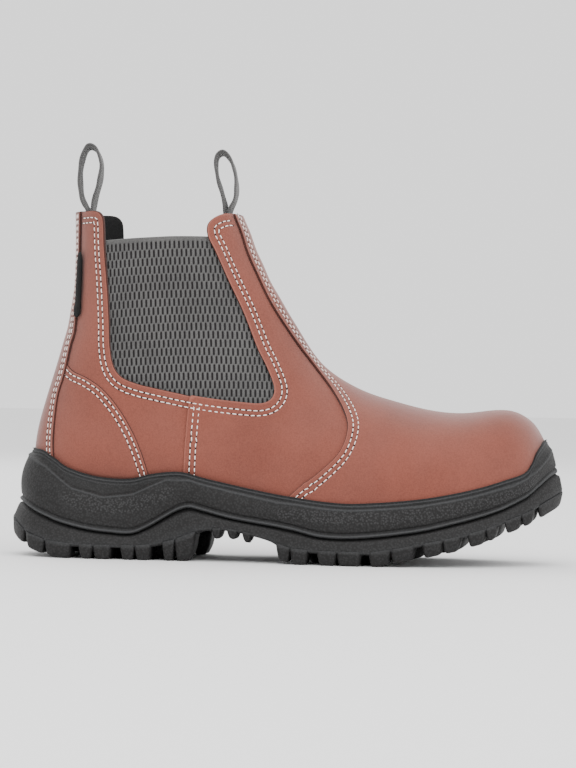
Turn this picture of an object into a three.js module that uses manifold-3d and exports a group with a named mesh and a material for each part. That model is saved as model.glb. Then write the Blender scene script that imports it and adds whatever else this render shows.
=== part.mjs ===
// Pull-on work boot for the right foot, a leather boot with elastic side gores on a lugged sole.
// Millimetres, +X towards the toe, +Y towards the inner side of the foot, +Z up from the floor.

import * as THREE from 'three';
import { mergeVertices } from 'three/addons/utils/BufferGeometryUtils.js';
import Module from 'manifold-3d';

const wasm = await Module();
wasm.setup();

// Driving sizes of the boot.
const soleLength = 286;
const ballWidth = 104;
const rimHeight = 45;
const vampHeight = 80;
const collarHeight = 178.4;

// Leather, elastic and webbing.
const upperWall = 2;
const overlay = 1.2;
const fit = 0.3;
const goreThickness = 1.5;
const goreOverlap = 8;
const webbingThickness = 1.3;
const webbingWidth = 14;
const tagWidth = 4.4;
const tagLength = 34;
const tagTop = 157.6;

// Sole.
const insoleThickness = 3;
const lastingMargin = 18;
const rimThickness = 1.6;
const cupTuck = 5;
const partingGroove = 1.8;
const ledgeStep = 1.1;
const ledgeShare = 0.035;
const footBead = [0.12, 0.4];
const lugReach = 17;
const lugDraft = 0.9;
const lugInset = 0.8;
const lugRoot = 1.5;
const notchWidth = 1.2;
const lugStep = 9;

const railShare = [0.2, 0.8];
const railDrop = 0.7;

// Mesh fineness.
const rowSteps = 26;
const halfSteps = 12;
const outlineSteps = 22;
const tuckSteps = 14;
const stripSteps = 6;
const halvings = 24;
const tipClear = 0.05;
const rimSearch = 30;

// Sole stations from the heel's rear to the toe's tip. x is a share of the sole's length, lateral and
// medial are edges as shares of the ball width, and heights are shares of the rim height: tread face,
// plate underside, parting line of outsole and midsole, footbed, rim. ledge is a share of the midsole's
// side; flare is how far the parting line stands in from the outline and bulge how far the midsole's
// side swells, both as shares of the ball width.
const stationColumns = [
  'x', 'lateral', 'medial', 'tread', 'plate', 'parting', 'footbed', 'rim', 'ledge', 'flare', 'bulge',
];
const soleStations = [
  [0, 3.1, 3.1, 27.8, 42.2, 62.7, 74.2, 122.2, 86, 2.9, 2.7],
  [0.6, 12, 12, 24.9, 39.6, 62, 74.2, 122.2, 84, 2.9, 2.7],
  [2.3, 22.1, 22.1, 18.7, 32.9, 58.2, 74.2, 121.8, 82, 2.8, 2.6],
  [4.7, 29.4, 29.4, 9.8, 24, 52, 74.2, 120, 79, 2.4, 2.5],
  [7.7, 34.2, 34, 3.6, 17.8, 45.3, 74, 112, 75, 2.1, 2.4],
  [10.8, 36.9, 36.5, 0, 14.2, 39.1, 73.8, 102.2, 72, 1.9, 2.2],
  [15.7, 38.7, 37.7, 0, 13.3, 32.4, 73.3, 93.3, 66, 1.6, 2],
  [20.3, 39.2, 37.5, 0, 13.3, 29.3, 72.7, 90, 64, 1.5, 1.9],
  [23.8, 39.2, 36.7, 0, 13.3, 28.7, 71.8, 90.9, 71, 1.4, 1.8],
  [26.6, 39.2, 36, 0, 14.2, 35.6, 70.9, 95.6, 75, 1.3, 1.7],
  [29.7, 39.3, 35.1, 0, 17.8, 47.1, 69.8, 98.7, 84, 1.2, 1.6],
  [32.2, 39.4, 34.5, 0, 22.2, 56, 68.7, 99.6, 86, 1.1, 1.6],
  [34.3, 39.6, 34.2, 1.3, 27.8, 59.6, 67.6, 97.6, 86, 1, 1.5],
  [36.7, 40.1, 34.1, 24.2, 34.2, 56.4, 65.8, 93.3, 86, 0.8, 1.5],
  [41.3, 41.5, 34.8, 27.8, 35.6, 49.3, 61.3, 87.1, 86, 0.6, 1.5],
  [45.5, 43.2, 36.4, 22.7, 31.1, 44.9, 56.7, 81.8, 86, 0.6, 1.5],
  [49, 44.7, 38.3, 16.4, 25.3, 41.8, 53.3, 77.8, 86, 0.6, 1.5],
  [51, 45.7, 39.4, 4.4, 18.9, 39.8, 51.6, 75.8, 86, 0.6, 1.5],
  [53.5, 46.8, 40.8, 0, 14.7, 36.9, 49.8, 73.8, 86, 0.6, 1.5],
  [58, 48.7, 43.4, 0, 13.3, 30.7, 47.6, 70.2, 86, 0.6, 1.5],
  [62.9, 50, 46.1, 0, 13.3, 29.6, 46.7, 68.4, 86, 0.6, 1.5],
  [67.5, 50.2, 48.3, 0, 13.3, 31.8, 47.1, 69.8, 86, 0.6, 1.5],
  [72, 49.4, 49.6, 4.9, 18.2, 35.3, 48.9, 72.2, 86, 0.6, 1.5],
  [76.9, 47.5, 49.8, 11.1, 24.4, 40.4, 52.9, 76, 86, 0.6, 1.5],
  [81.8, 44, 48.4, 18, 31.1, 48, 59.3, 81.8, 86, 0.6, 1.5],
  [86.4, 39.2, 45.4, 26.7, 39.1, 56, 68, 89, 84, 0.7, 1.4],
  [90.2, 33.5, 41.3, 36.9, 48.9, 64.4, 76.4, 97, 80, 0.7, 1.3],
  [93.7, 26, 35.6, 46.2, 57.8, 75.1, 82.7, 105.6, 72, 0.8, 1.2],
  [95.3, 22.2, 32.6, 51.4, 63, 81.6, 85.8, 117, 66, 0.9, 1],
  [96.5, 17.7, 28.8, 56, 67.6, 88, 88.9, 130, 60, 1, 0.9],
  [98.4, 9.2, 21.5, 63.6, 75.1, 98.9, 94.4, 140, 55, 1.2, 0.8],
  [99.6, 1.2, 14, 68.4, 79.6, 104, 98.9, 142.2, 55, 1.3, 0.8],
  [100, -2.7, 9.4, 70, 81.1, 105.6, 101.1, 142.2, 55, 1.4, 0.8],
];

// Sections of the last, fanned from the toe's tip over the foot and up the shaft. topX and baseX are
// shares of the sole's length. topLift is a share of the vamp height up to 100 and from there of the
// way on to the collar; baseRise is a share of the way from the footbed to the collar. ridge, lateral
// and medial are shares of the ball width; widest is how far up the section it is widest, in hundredths;
// crown and seat are the roundness exponents above and below that.
const lastColumns = [
  'topX', 'topLift', 'baseX', 'baseRise', 'ridge', 'lateral', 'medial', 'widest', 'crown', 'seat',
];
const lastSections = [
  [97.9, 62.5, 97.9, 6, 6, -6, 6, 50, 2.2, 2.2],
  [97.6, 71.5, 97.6, 2.3, 5.8, 2.4, 14, 46, 2.25, 2.4],
  [96.6, 79.5, 96.6, 0.6, 5.6, 10.6, 21.2, 40, 2.3, 2.8],
  [95.2, 88.2, 95.2, 0.1, 5.4, 18.5, 27.9, 36, 2.4, 3.2],
  [93.4, 94.5, 93.4, 0, 5.1, 25.2, 33.5, 33, 2.5, 3.6],
  [90.6, 98.9, 90.6, 0, 4.7, 31.5, 38.3, 31, 2.55, 4],
  [86.7, 99, 86.7, 0, 4.2, 36.9, 41.9, 29, 2.5, 4.4],
  [81.8, 97, 81.8, 0, 3.8, 41.3, 44.2, 28, 2.4, 4.6],
  [75.9, 98.5, 75.9, 0, 3.4, 44.5, 45, 27, 2.3, 4.8],
  [70.3, 102.5, 69.6, 0, 3.1, 45.9, 43.9, 26, 2.2, 4.8],
  [65.7, 106.4, 63.3, 0, 2.9, 45.6, 41.6, 26, 2.1, 4.8],
  [61.7, 111.2, 55.9, 0, 2.7, 43.5, 38.3, 26, 2.05, 4.6],
  [58.3, 116.9, 47.6, 0, 2.4, 40.4, 35.4, 28, 2.05, 4.4],
  [55.6, 123.7, 37.8, 0, 1.9, 37.7, 33.8, 31, 2.1, 4],
  [53.4, 132.5, 27.3, 0, 1.3, 35.9, 33.1, 35, 2.15, 3.6],
  [51.5, 141.3, 16.8, 0, 0.9, 34.8, 32.8, 38, 2.2, 3.1],
  [49.7, 149.6, 8.7, 0, 0.5, 34, 32.5, 40, 2.25, 2.7],
  [48, 157.9, 4.5, 6.6, 0.2, 33.4, 32.2, 42, 2.3, 2.45],
  [46.4, 165.6, 4, 17.6, 0, 32.8, 32, 44, 2.35, 2.35],
  [45.1, 173.8, 5.2, 29, 0, 32.4, 31.9, 46, 2.35, 2.35],
  [43.7, 182.2, 6.9, 40.4, 0, 32.2, 31.9, 47, 2.35, 2.35],
  [42.6, 190.7, 8.7, 52.9, 0, 32.1, 32, 48, 2.35, 2.35],
  [41.3, 199, 10.3, 68, 0, 32.2, 32.2, 48, 2.35, 2.35],
  [40.1, 207.3, 10.8, 85.3, 0, 32.4, 32.4, 48, 2.35, 2.35],
  [38.8, 214.8, 10.6, 103.9, 0, 32.7, 32.7, 48, 2.35, 2.35],
];

// Side-view outlines. x is a share of the sole's length, lift is counted as topLift is.
const goreOpening = [
  [16.4, 198.1], [17.1, 194.3], [17.4, 179.8], [18, 164], [18.7, 142.9], [19, 129.9], [19.7, 120],
  [21.2, 113.9], [24, 110.4], [28.5, 107.5], [35.7, 103.7], [42.9, 101.5], [46.9, 101.2], [48.7, 104.3],
  [49, 110.5], [47.5, 120.8], [45.6, 131.1], [43, 149.1], [40.4, 164.6], [38, 179.9], [36.5, 187.4],
  [36.4, 193.4], [37.2, 198.2],
];
const goreTop = [[0, 181.2], [17.9, 184.5], [23.5, 185.7], [29.8, 186.9], [36.9, 187.7], [100, 192]];
const vampSeam = [
  [40.7, 204.5], [41.4, 192.8], [43.9, 173.7], [47.2, 154.4], [51.3, 136.5], [55.4, 121.2], [59, 108.6],
  [61.5, 96.8], [62.3, 85.4], [61.1, 71.4], [57.6, 58.5], [54.1, 48.8], [51.5, 40.2], [48, 27],
];
const stripEdge = [
  [12.4, 204.5], [12.3, 185.2], [12, 143], [11.2, 129.8], [10.2, 114], [9.1, 102.4], [8.6, 78.9],
  [8.7, 64], [9, 52],
];

// Lugs along both edges of the tread, start, notch and end as shares of the sole's length; a notch of
// 0 leaves the lug whole. The three narrow ones in the middle are the fins of the arch.
const sideLugs = [
  [4.2, 8, 12.9], [14.7, 17.1, 20.2], [22.3, 24.7, 27.4], [29.9, 31.9, 35.4], [38.9, 0, 40.1],
  [41.6, 0, 43], [44.4, 0, 45.5], [50.6, 52.9, 55.9], [58, 61.3, 65.4], [67.2, 70.8, 74.7],
  [76.5, 79.8, 82.6], [84.3, 87.2, 88.9], [90.6, 93.2, 95.1],
];
// Lugs along the middle of the tread, start and end as shares of the sole's length.
const middleLugs = [
  [4, 10.5], [13.5, 21.5], [24.5, 32.5], [55.5, 61.5], [64, 69], [71.5, 76], [78.5, 83], [85.5, 89.5],
];
const heelRestLug = middleLugs[1];
// Lugs right across the heel's back and the toe, start and end as shares of the sole's length.
const endLugs = [[0.3, 3.8], [96, 99.6]];

// Pull loops in side view, x and z in millimetres from the middle of the collar's edge where each is sewn.
const backLoopRoute = [
  [5.7, -14], [5.7, -2], [5.1, 1.8], [3.4, 4.6], [1.6, 9], [0.6, 17], [1.2, 27], [4.4, 34.6], [9, 33.4],
  [11.8, 25.6], [10.8, 16], [8.5, 7], [7.6, -2], [7.6, -14],
];
const frontLoopRoute = [
  [-0.4, -16], [-3.9, -7], [-6.6, 0], [-6, 3.6], [-4.2, 7.4], [-3.4, 12], [-3.8, 19.4], [-6.2, 27.6],
  [-10.2, 32.2], [-13.6, 30.6], [-14.4, 25.6], [-13.2, 18.6], [-10.8, 11], [-9.2, 5], [-8.7, 0],
  [-6, -7], [-2.5, -16],
];

const leather = { color: 0xa9705f, roughness: 0.9, metalness: 0 };
const blackRubber = { color: 0x1b1b1c, roughness: 0.62, metalness: 0 };
const elasticGrey = { color: 0x6a6a6c, roughness: 0.9, metalness: 0 };
const webbingGrey = { color: 0x8b8a88, roughness: 0.85, metalness: 0 };
const insoleGrey = { color: 0x2b2b2d, roughness: 0.95, metalness: 0 };
const tagBlack = { color: 0x161616, roughness: 0.8, metalness: 0 };

// Values of one named column of a table, each times a unit length.
function column(table, names, name, unit) {
  const place = names.indexOf(name);
  return table.map((row) => (row[place] / 100) * unit);
}

const stationX = column(soleStations, stationColumns, 'x', soleLength);
const edgeLateral = column(soleStations, stationColumns, 'lateral', ballWidth);
const edgeMedial = column(soleStations, stationColumns, 'medial', ballWidth);
const treadLine = column(soleStations, stationColumns, 'tread', rimHeight);
const plateLine = column(soleStations, stationColumns, 'plate', rimHeight);
const partingLine = column(soleStations, stationColumns, 'parting', rimHeight);
const footbedLine = column(soleStations, stationColumns, 'footbed', rimHeight);
const rimLine = column(soleStations, stationColumns, 'rim', rimHeight);
const ledgeLine = column(soleStations, stationColumns, 'ledge', 1);
const flareLine = column(soleStations, stationColumns, 'flare', ballWidth);
const bulgeLine = column(soleStations, stationColumns, 'bulge', ballWidth);

// Straight interpolation of values over rising places.
function valueAt(places, values, x) {
  const last = places.length - 1;
  if (x <= places[0]) return values[0];
  if (x >= places[last]) return values[last];
  const next = places.findIndex((place) => place > x);
  const share = (x - places[next - 1]) / (places[next] - places[next - 1]);
  return values[next - 1] + share * (values[next] - values[next - 1]);
}

// Height of a lift share: up to 100 of the vamp height, and from there of the way on to the collar.
function heightOf(lift) {
  if (lift <= 100) return (vampHeight * lift) / 100;
  return vampHeight + ((lift - 100) / 100) * (collarHeight - vampHeight);
}

// Natural cubic spline through evenly spaced values, as a function of the value's number.
function spline(values) {
  const last = values.length - 1;
  const ratio = [0];
  const part = [0];
  for (let i = 1; i < last; i += 1) {
    const bend = 6 * (values[i + 1] - 2 * values[i] + values[i - 1]);
    const pivot = 4 - ratio[i - 1];
    ratio.push(1 / pivot);
    part.push((bend - part[i - 1]) / pivot);
  }
  const second = new Array(last + 1).fill(0);
  for (let i = last - 1; i > 0; i -= 1) {
    second[i] = part[i] - ratio[i] * second[i + 1];
  }
  return (t) => {
    const i = Math.min(Math.max(Math.floor(t), 0), last - 1);
    const b = t - i;
    const a = 1 - b;
    const curve = (a ** 3 - a) * second[i] + (b ** 3 - b) * second[i + 1];
    return a * values[i] + b * values[i + 1] + curve / 6;
  };
}

// Curves of the last's columns along its sections, in millimetres where they are lengths.
const lastSpan = lastSections.length - 1;
const baseX = column(lastSections, lastColumns, 'baseX', soleLength);
const baseRise = column(lastSections, lastColumns, 'baseRise', 1);
const lastCurves = {
  topX: spline(column(lastSections, lastColumns, 'topX', soleLength)),
  topZ: spline(column(lastSections, lastColumns, 'topLift', 100).map(heightOf)),
  baseX: spline(baseX),
  baseZ: spline(baseX.map((x, i) => {
    const floor = valueAt(stationX, footbedLine, x);
    return floor + baseRise[i] * (collarHeight - floor);
  })),
  ridge: spline(column(lastSections, lastColumns, 'ridge', ballWidth)),
  lateral: spline(column(lastSections, lastColumns, 'lateral', ballWidth)),
  medial: spline(column(lastSections, lastColumns, 'medial', ballWidth)),
  widest: spline(column(lastSections, lastColumns, 'widest', 1)),
  crown: spline(column(lastSections, lastColumns, 'crown', 100)),
  seat: spline(column(lastSections, lastColumns, 'seat', 100)),
};

// The section at a place along the last, 0 at the toe's tip and lastSpan above the collar.
function sectionAt(t) {
  const section = {};
  for (const [name, curve] of Object.entries(lastCurves)) {
    section[name] = curve(t);
  }
  return section;
}

// A point of a section's outline: angle 0 is the crown, pi the base; side is -1 lateral, +1 medial.
// Above and below the widest place the outline is a superellipse with the crown or seat exponent.
function sectionPoint(section, angle, side) {
  const cosine = Math.cos(angle);
  const power = 2 / (cosine >= 0 ? section.crown : section.seat);
  const reach = (cosine >= 0 ? 1 - section.widest : -section.widest) * Math.abs(cosine) ** power;
  const up = section.widest + reach;
  const out = Math.abs(Math.sin(angle)) ** power;
  const edge = side < 0 ? -section.lateral : section.medial;
  return new THREE.Vector3(
    section.baseX + (section.topX - section.baseX) * up,
    section.ridge + (edge - section.ridge) * out,
    section.baseZ + (section.topZ - section.baseZ) * up,
  );
}

// Whether a point lies inside the last: its section is the one whose chord passes through it.
function insideLast(x, y, z) {
  const offLine = (t) => {
    const s = sectionAt(t);
    return (s.topX - s.baseX) * (z - s.baseZ) - (s.topZ - s.baseZ) * (x - s.baseX);
  };
  let low = tipClear;
  let high = lastSpan;
  if (offLine(low) < 0 || offLine(high) > 0) return false;
  for (let i = 0; i < halvings; i += 1) {
    const middle = (low + high) / 2;
    if (offLine(middle) > 0) low = middle;
    else high = middle;
  }
  const s = sectionAt(low);
  const chord = [s.topX - s.baseX, s.topZ - s.baseZ];
  const up = ((x - s.baseX) * chord[0] + (z - s.baseZ) * chord[1]) / (chord[0] ** 2 + chord[1] ** 2);
  if (up <= 0 || up >= 1) return false;
  const power = up < s.widest ? s.seat : s.crown;
  const away = up < s.widest ? (s.widest - up) / s.widest : (up - s.widest) / (1 - s.widest);
  const out = (1 - away ** power) ** (1 / power);
  return y > s.ridge - (s.ridge + s.lateral) * out && y < s.ridge + (s.medial - s.ridge) * out;
}

// Solid of a closed geometry, with its shared corners merged.
function solidOf(geometry) {
  const bare = geometry.clone();
  bare.deleteAttribute('normal');
  bare.deleteAttribute('uv');
  const merged = mergeVertices(bare);
  return new wasm.Manifold(new wasm.Mesh({
    numProp: 3,
    vertProperties: new Float32Array(merged.attributes.position.array),
    triVerts: new Uint32Array(merged.index.array),
  }));
}

// Solid of points and triangles, turned to face outward.
function solidFrom(points, triangles) {
  const build = (faces) => {
    const geometry = new THREE.BufferGeometry();
    geometry.setAttribute('position', new THREE.Float32BufferAttribute(points.flatMap((p) => p.toArray()), 3));
    geometry.setIndex(faces.flat());
    return solidOf(geometry);
  };
  const solid = build(triangles);
  return solid.volume() > 0 ? solid : build(triangles.map(([a, b, c]) => [a, c, b]));
}

// Grid of the last's surface, a row for each section, and its outward directions.
const lastGrid = [];
for (let row = 1; row <= rowSteps; row += 1) {
  const section = sectionAt((row * lastSpan) / rowSteps);
  const ring = [];
  for (let step = 0; step < 2 * halfSteps; step += 1) {
    const side = step <= halfSteps ? -1 : 1;
    const turn = step <= halfSteps ? step : 2 * halfSteps - step;
    ring.push(sectionPoint(section, (turn * Math.PI) / halfSteps, side));
  }
  lastGrid.push(ring);
}
const lastTip = sectionPoint(sectionAt(0), 0, 1);
const ringCount = 2 * halfSteps;
const lastNormals = lastGrid.map((ring, row) => ring.map((point, step) => {
  const before = row === 0 ? lastTip : lastGrid[row - 1][step];
  const after = lastGrid[Math.min(row + 1, rowSteps - 1)][step];
  const along = after.clone().sub(before);
  const around = ring[(step + 1) % ringCount].clone().sub(ring[(step + ringCount - 1) % ringCount]);
  return along.cross(around).normalize();
}));

// The last grown outward by an offset, or shrunk by a negative one, closed at the tip and above the collar.
function lastSolid(offset) {
  const points = [lastTip.clone().add(new THREE.Vector3(offset, 0, 0))];
  lastGrid.forEach((ring, row) => ring.forEach((point, step) => {
    points.push(point.clone().addScaledVector(lastNormals[row][step], offset));
  }));
  const crown = new THREE.Vector3();
  points.slice(-ringCount).forEach((point) => crown.addScaledVector(point, 1 / ringCount));
  points.push(crown);
  const at = (row, step) => 1 + row * ringCount + (step % ringCount);
  const triangles = [];
  for (let step = 0; step < ringCount; step += 1) {
    triangles.push([0, at(0, step), at(0, step + 1)]);
    triangles.push([points.length - 1, at(rowSteps - 1, step + 1), at(rowSteps - 1, step)]);
    for (let row = 0; row < rowSteps - 1; row += 1) {
      triangles.push([at(row, step), at(row + 1, step), at(row + 1, step + 1)]);
      triangles.push([at(row, step), at(row + 1, step + 1), at(row, step + 1)]);
    }
  }
  return solidFrom(points, triangles);
}

// Solid between two offsets of the last, the leather's outer and inner faces.
function shell(outer, inner) {
  return lastSolid(outer).subtract(lastSolid(inner));
}

// Solid of rings stacked upward, each ring two matching edges: one side forward, the other side back.
function stackSolid(rings) {
  const count = rings[0].length;
  const half = count / 2;
  const points = rings.flat();
  const triangles = [];
  for (let level = 0; level < rings.length - 1; level += 1) {
    for (let i = 0; i < count; i += 1) {
      const a = level * count + i;
      const b = level * count + ((i + 1) % count);
      triangles.push([a, b, b + count], [a, b + count, a + count]);
    }
  }
  const top = (rings.length - 1) * count;
  for (let i = 0; i < half - 1; i += 1) {
    const [a, b, c, d] = [i, i + 1, count - 2 - i, count - 1 - i];
    triangles.push([a, c, b], [a, d, c]);
    triangles.push([top + a, top + b, top + c], [top + a, top + c, top + d]);
  }
  return solidFrom(points, triangles);
}

// Plan outline of the sole, lateral edge from heel to toe and medial edge back, with outward directions.
const stationCount = soleStations.length;
const planEdge = [];
for (let i = 0; i < stationCount; i += 1) {
  planEdge.push({ station: i, x: stationX[i], y: -edgeLateral[i] });
}
for (let i = stationCount - 1; i >= 0; i -= 1) {
  planEdge.push({ station: i, x: stationX[i], y: edgeMedial[i] });
}
planEdge.forEach((point, i) => {
  const before = planEdge[(i + planEdge.length - 1) % planEdge.length];
  const after = planEdge[(i + 1) % planEdge.length];
  const length = Math.hypot(after.x - before.x, after.y - before.y);
  point.outX = (after.y - before.y) / length;
  point.outY = -(after.x - before.x) / length;
});

// Ring of the sole's outline, moved outward by an amount and set on heights, both by station.
function soleRing(outward, height) {
  return planEdge.map((p) => {
    const move = outward(p.station);
    return new THREE.Vector3(p.x + p.outX * move, p.y + p.outY * move, height(p.station));
  });
}

// Rim of the cup: from each point of the outline inward to the last at the rim's height, less its thickness.
const rimRing = planEdge.map((p) => {
  const height = rimLine[p.station];
  let outside = 0;
  let inside = rimSearch;
  for (let i = 0; i < halvings; i += 1) {
    const middle = (outside + inside) / 2;
    if (insideLast(p.x - p.outX * middle, p.y - p.outY * middle, height)) inside = middle;
    else outside = middle;
  }
  const inward = outside - rimThickness;
  return new THREE.Vector3(p.x - p.outX * inward, p.y - p.outY * inward, height);
});
const lateralRim = rimRing.slice(0, stationCount);
const rimPlaces = lateralRim.map((point) => point.x);
const rimHeights = lateralRim.map((point) => point.z);
const rimAt = (x) => valueAt(rimPlaces, rimHeights, x);

// Side-view outline points of a table, in millimetres.
function outlineOf(table) {
  return table.map(([x, lift]) => new THREE.Vector2((x / 100) * soleLength, heightOf(lift)));
}

// Smooth curve through side-view points.
function smooth(points) {
  return new THREE.SplineCurve(points).getPoints(outlineSteps);
}

// Solid of a side-view outline carried across the boot from one y to another.
function acrossBoot(points, yFrom, yTo) {
  const geometry = new THREE.ExtrudeGeometry(new THREE.Shape(points), {
    depth: yTo - yFrom,
    bevelEnabled: false,
  });
  geometry.rotateX(Math.PI / 2);
  geometry.translate(0, yTo, 0);
  return solidOf(geometry);
}
const halfSpan = ballWidth;
const acrossAll = (points) => acrossBoot(points, -halfSpan, halfSpan);

// Closed outline moved outward by a distance along the direction away from its run.
function grownOutline(points, distance) {
  const turned = THREE.ShapeUtils.area(points) > 0 ? 1 : -1;
  return points.map((point, i) => {
    const before = points[(i + points.length - 1) % points.length];
    const after = points[(i + 1) % points.length];
    const run = after.clone().sub(before).normalize();
    return new THREE.Vector2(point.x + turned * run.y * distance, point.y - turned * run.x * distance);
  });
}

// What lies above the collar's edge.
const aboveAll = 2 * collarHeight;
const aboveCollar = acrossAll([
  new THREE.Vector2(0, collarHeight),
  new THREE.Vector2(soleLength, collarHeight),
  new THREE.Vector2(soleLength, aboveAll),
  new THREE.Vector2(0, aboveAll),
]);

// The opening for the gores, closed above the collar between the two tabs.
const openingCurve = smooth(outlineOf(goreOpening));
const openingOutline = [
  new THREE.Vector2(openingCurve[0].x - webbingThickness, aboveAll),
  ...openingCurve,
  new THREE.Vector2(openingCurve[outlineSteps].x + webbingThickness, aboveAll),
];
const upperOuter = -(overlay + fit);
const upperInner = upperOuter - upperWall;

// Vamp region: forward of its seam and above a line tucked into the sole's cup.
function vampRegion(grow) {
  const seam = smooth(outlineOf(vampSeam)).map((p) => new THREE.Vector2(p.x - grow, p.y));
  const seamFoot = seam.findIndex((p) => p.y < rimAt(p.x) - cupTuck - grow);
  const kept = seamFoot < 0 ? seam : seam.slice(0, seamFoot);
  const start = kept[kept.length - 1].x;
  const tucked = [];
  for (let i = 0; i <= tuckSteps; i += 1) {
    const x = start + ((soleLength - start) * i) / tuckSteps;
    tucked.push(new THREE.Vector2(x, rimAt(x) - cupTuck - grow));
  }
  return acrossAll([...kept, ...tucked, new THREE.Vector2(soleLength, aboveAll)]);
}

// The upper: one hollow shell, open at the collar, at both gores and underneath.
const openingSolid = acrossAll(openingOutline);
const underside = stackSolid([
  soleRing(() => -lastingMargin, (i) => footbedLine[i] - cupTuck),
  soleRing(() => -lastingMargin, (i) => footbedLine[i] - upperInner + 1),
]);
const upper = shell(upperOuter, upperInner)
  .subtract(aboveCollar)
  .subtract(openingSolid)
  .subtract(underside);

// Vamp and back strip, laid over the upper.
const vamp = shell(0, -overlay).intersect(vampRegion(0)).subtract(aboveCollar);
const stripCurve = smooth(outlineOf(stripEdge));
const stripFoot = [];
const stripEnd = stripCurve.findIndex((p) => p.y < rimAt(p.x) + 2 * fit);
const stripKept = stripEnd < 0 ? stripCurve : stripCurve.slice(0, stripEnd);
for (let i = 0; i <= stripSteps; i += 1) {
  const x = stripKept[stripKept.length - 1].x * (1 - i / stripSteps);
  stripFoot.push(new THREE.Vector2(x, rimAt(x) + 2 * fit));
}
const backStrip = shell(0, -overlay)
  .intersect(acrossAll([...stripKept, ...stripFoot, new THREE.Vector2(0, aboveAll)]))
  .subtract(aboveCollar);

// Elastic gores behind the opening's edges, up to their own top edge.
const aboveGore = acrossAll([
  ...smooth(outlineOf(goreTop)),
  new THREE.Vector2(soleLength, aboveAll),
  new THREE.Vector2(0, aboveAll),
]);
const goreBody = shell(upperInner - fit, upperInner - fit - goreThickness)
  .intersect(acrossAll(grownOutline(openingOutline, goreOverlap)))
  .subtract(aboveGore);
const lateralHalf = acrossBoot([
  new THREE.Vector2(0, 0),
  new THREE.Vector2(soleLength, 0),
  new THREE.Vector2(soleLength, aboveAll),
  new THREE.Vector2(0, aboveAll),
], -halfSpan, 0);
const goreLateral = goreBody.intersect(lateralHalf);
const goreMedial = goreBody.subtract(lateralHalf);

// Blank folded tag beside the back strip, on the lateral side.
const tagStart = stripCurve.find((p) => p.y < tagTop).x + fit;
const tag = shell(upperOuter + fit + overlay, upperOuter + fit)
  .intersect(lateralHalf)
  .intersect(acrossAll([
    new THREE.Vector2(tagStart, tagTop - tagLength),
    new THREE.Vector2(tagStart + tagWidth, tagTop - tagLength),
    new THREE.Vector2(tagStart + tagWidth, tagTop),
    new THREE.Vector2(tagStart, tagTop),
  ]));

// Insole on the lasting margin, inside the upper.
const insole = lastSolid(upperInner - fit).intersect(stackSolid([
  soleRing(() => 0, (i) => footbedLine[i] - cupTuck),
  soleRing(() => 0, (i) => footbedLine[i] - upperInner + fit + insoleThickness),
]));

// Midsole: a cup from the parting line to the rim, with a stepped ledge round its side.
const midsoleFoot = soleRing((i) => -partingGroove - flareLine[i], (i) => partingLine[i] + fit);
function midsoleRing(share, step) {
  return midsoleFoot.map((foot, i) => {
    const { station } = planEdge[i];
    const part = share(station);
    const out = bulgeLine[station] * Math.sin(Math.PI * part) + step;
    const point = foot.clone().lerp(rimRing[i], part);
    point.x += planEdge[i].outX * out;
    point.y += planEdge[i].outY * out;
    return point;
  });
}
const cupCore = lastSolid(upperOuter + fit).add(lastSolid(fit).intersect(vampRegion(fit)));
const midsole = stackSolid([
  midsoleRing(() => 0, 0),
  midsoleRing(() => footBead[0], footBead[1]),
  midsoleRing((i) => ledgeLine[i] - ledgeShare, ledgeStep),
  midsoleRing((i) => ledgeLine[i] + ledgeShare, 0),
  midsoleRing(() => 1, 0),
]).subtract(cupCore);

// One lug between two x places and two side edges, wider at its root in the plate.
function lugSolid(start, end, outerEdge, innerEdge) {
  const steps = Math.max(1, Math.round((end - start) / lugStep));
  const places = Array.from({ length: steps + 1 }, (_, i) => start + ((end - start) * i) / steps);
  const ring = (grow, height) => {
    const spread = (x, i) => x + ((2 * i) / steps - 1) * grow;
    const outer = places.map((x, i) => new THREE.Vector3(spread(x, i), outerEdge(x), height(x)));
    const inner = places.map((x, i) => new THREE.Vector3(spread(x, i), innerEdge(x), height(x)));
    return [...outer, ...inner.reverse()];
  };
  const foot = ring(0, (x) => valueAt(stationX, treadLine, x));
  const root = ring(lugDraft, (x) => valueAt(stationX, plateLine, x) + lugRoot);
  return stackSolid([foot, root]);
}

// Outsole: the plate under the parting line, with lugs along both edges and down the middle.
const outsoleRings = [
  soleRing(() => -2 * lugInset, (i) => plateLine[i]),
  soleRing(() => 0, (i) => plateLine[i] + railShare[0] * (partingLine[i] - plateLine[i])),
  soleRing((i) => -railDrop * flareLine[i], (i) => plateLine[i] + railShare[1] * (partingLine[i] - plateLine[i])),
  soleRing((i) => -partingGroove - flareLine[i], (i) => partingLine[i]),
];
const edgeAt = { '-1': edgeLateral, 1: edgeMedial };
const share = (value) => (value / 100) * soleLength;
let outsole = stackSolid(outsoleRings);
for (const side of [-1, 1]) {
  const edge = (inset) => (x) => side * (valueAt(stationX, edgeAt[side], x) - inset);
  for (const [start, notch, end] of sideLugs) {
    const cuts = notch === 0
      ? [[share(start), share(end)]]
      : [[share(start), share(notch) - notchWidth / 2], [share(notch) + notchWidth / 2, share(end)]];
    for (const [from, to] of cuts) {
      outsole = outsole.add(lugSolid(from, to, edge(lugInset), edge(lugReach)));
    }
  }
}
for (const [start, end] of middleLugs) {
  const reach = (sign, edges) => (x) => sign * (valueAt(stationX, edges, x) - lugReach - 3 * lugDraft);
  outsole = outsole.add(lugSolid(share(start), share(end), reach(-1, edgeLateral), reach(1, edgeMedial)));
}
for (const [start, end] of endLugs) {
  const reach = (sign, edges) => (x) => sign * (valueAt(stationX, edges, x) - lugInset);
  outsole = outsole.add(lugSolid(share(start), share(end), reach(-1, edgeLateral), reach(1, edgeMedial)));
}

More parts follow.
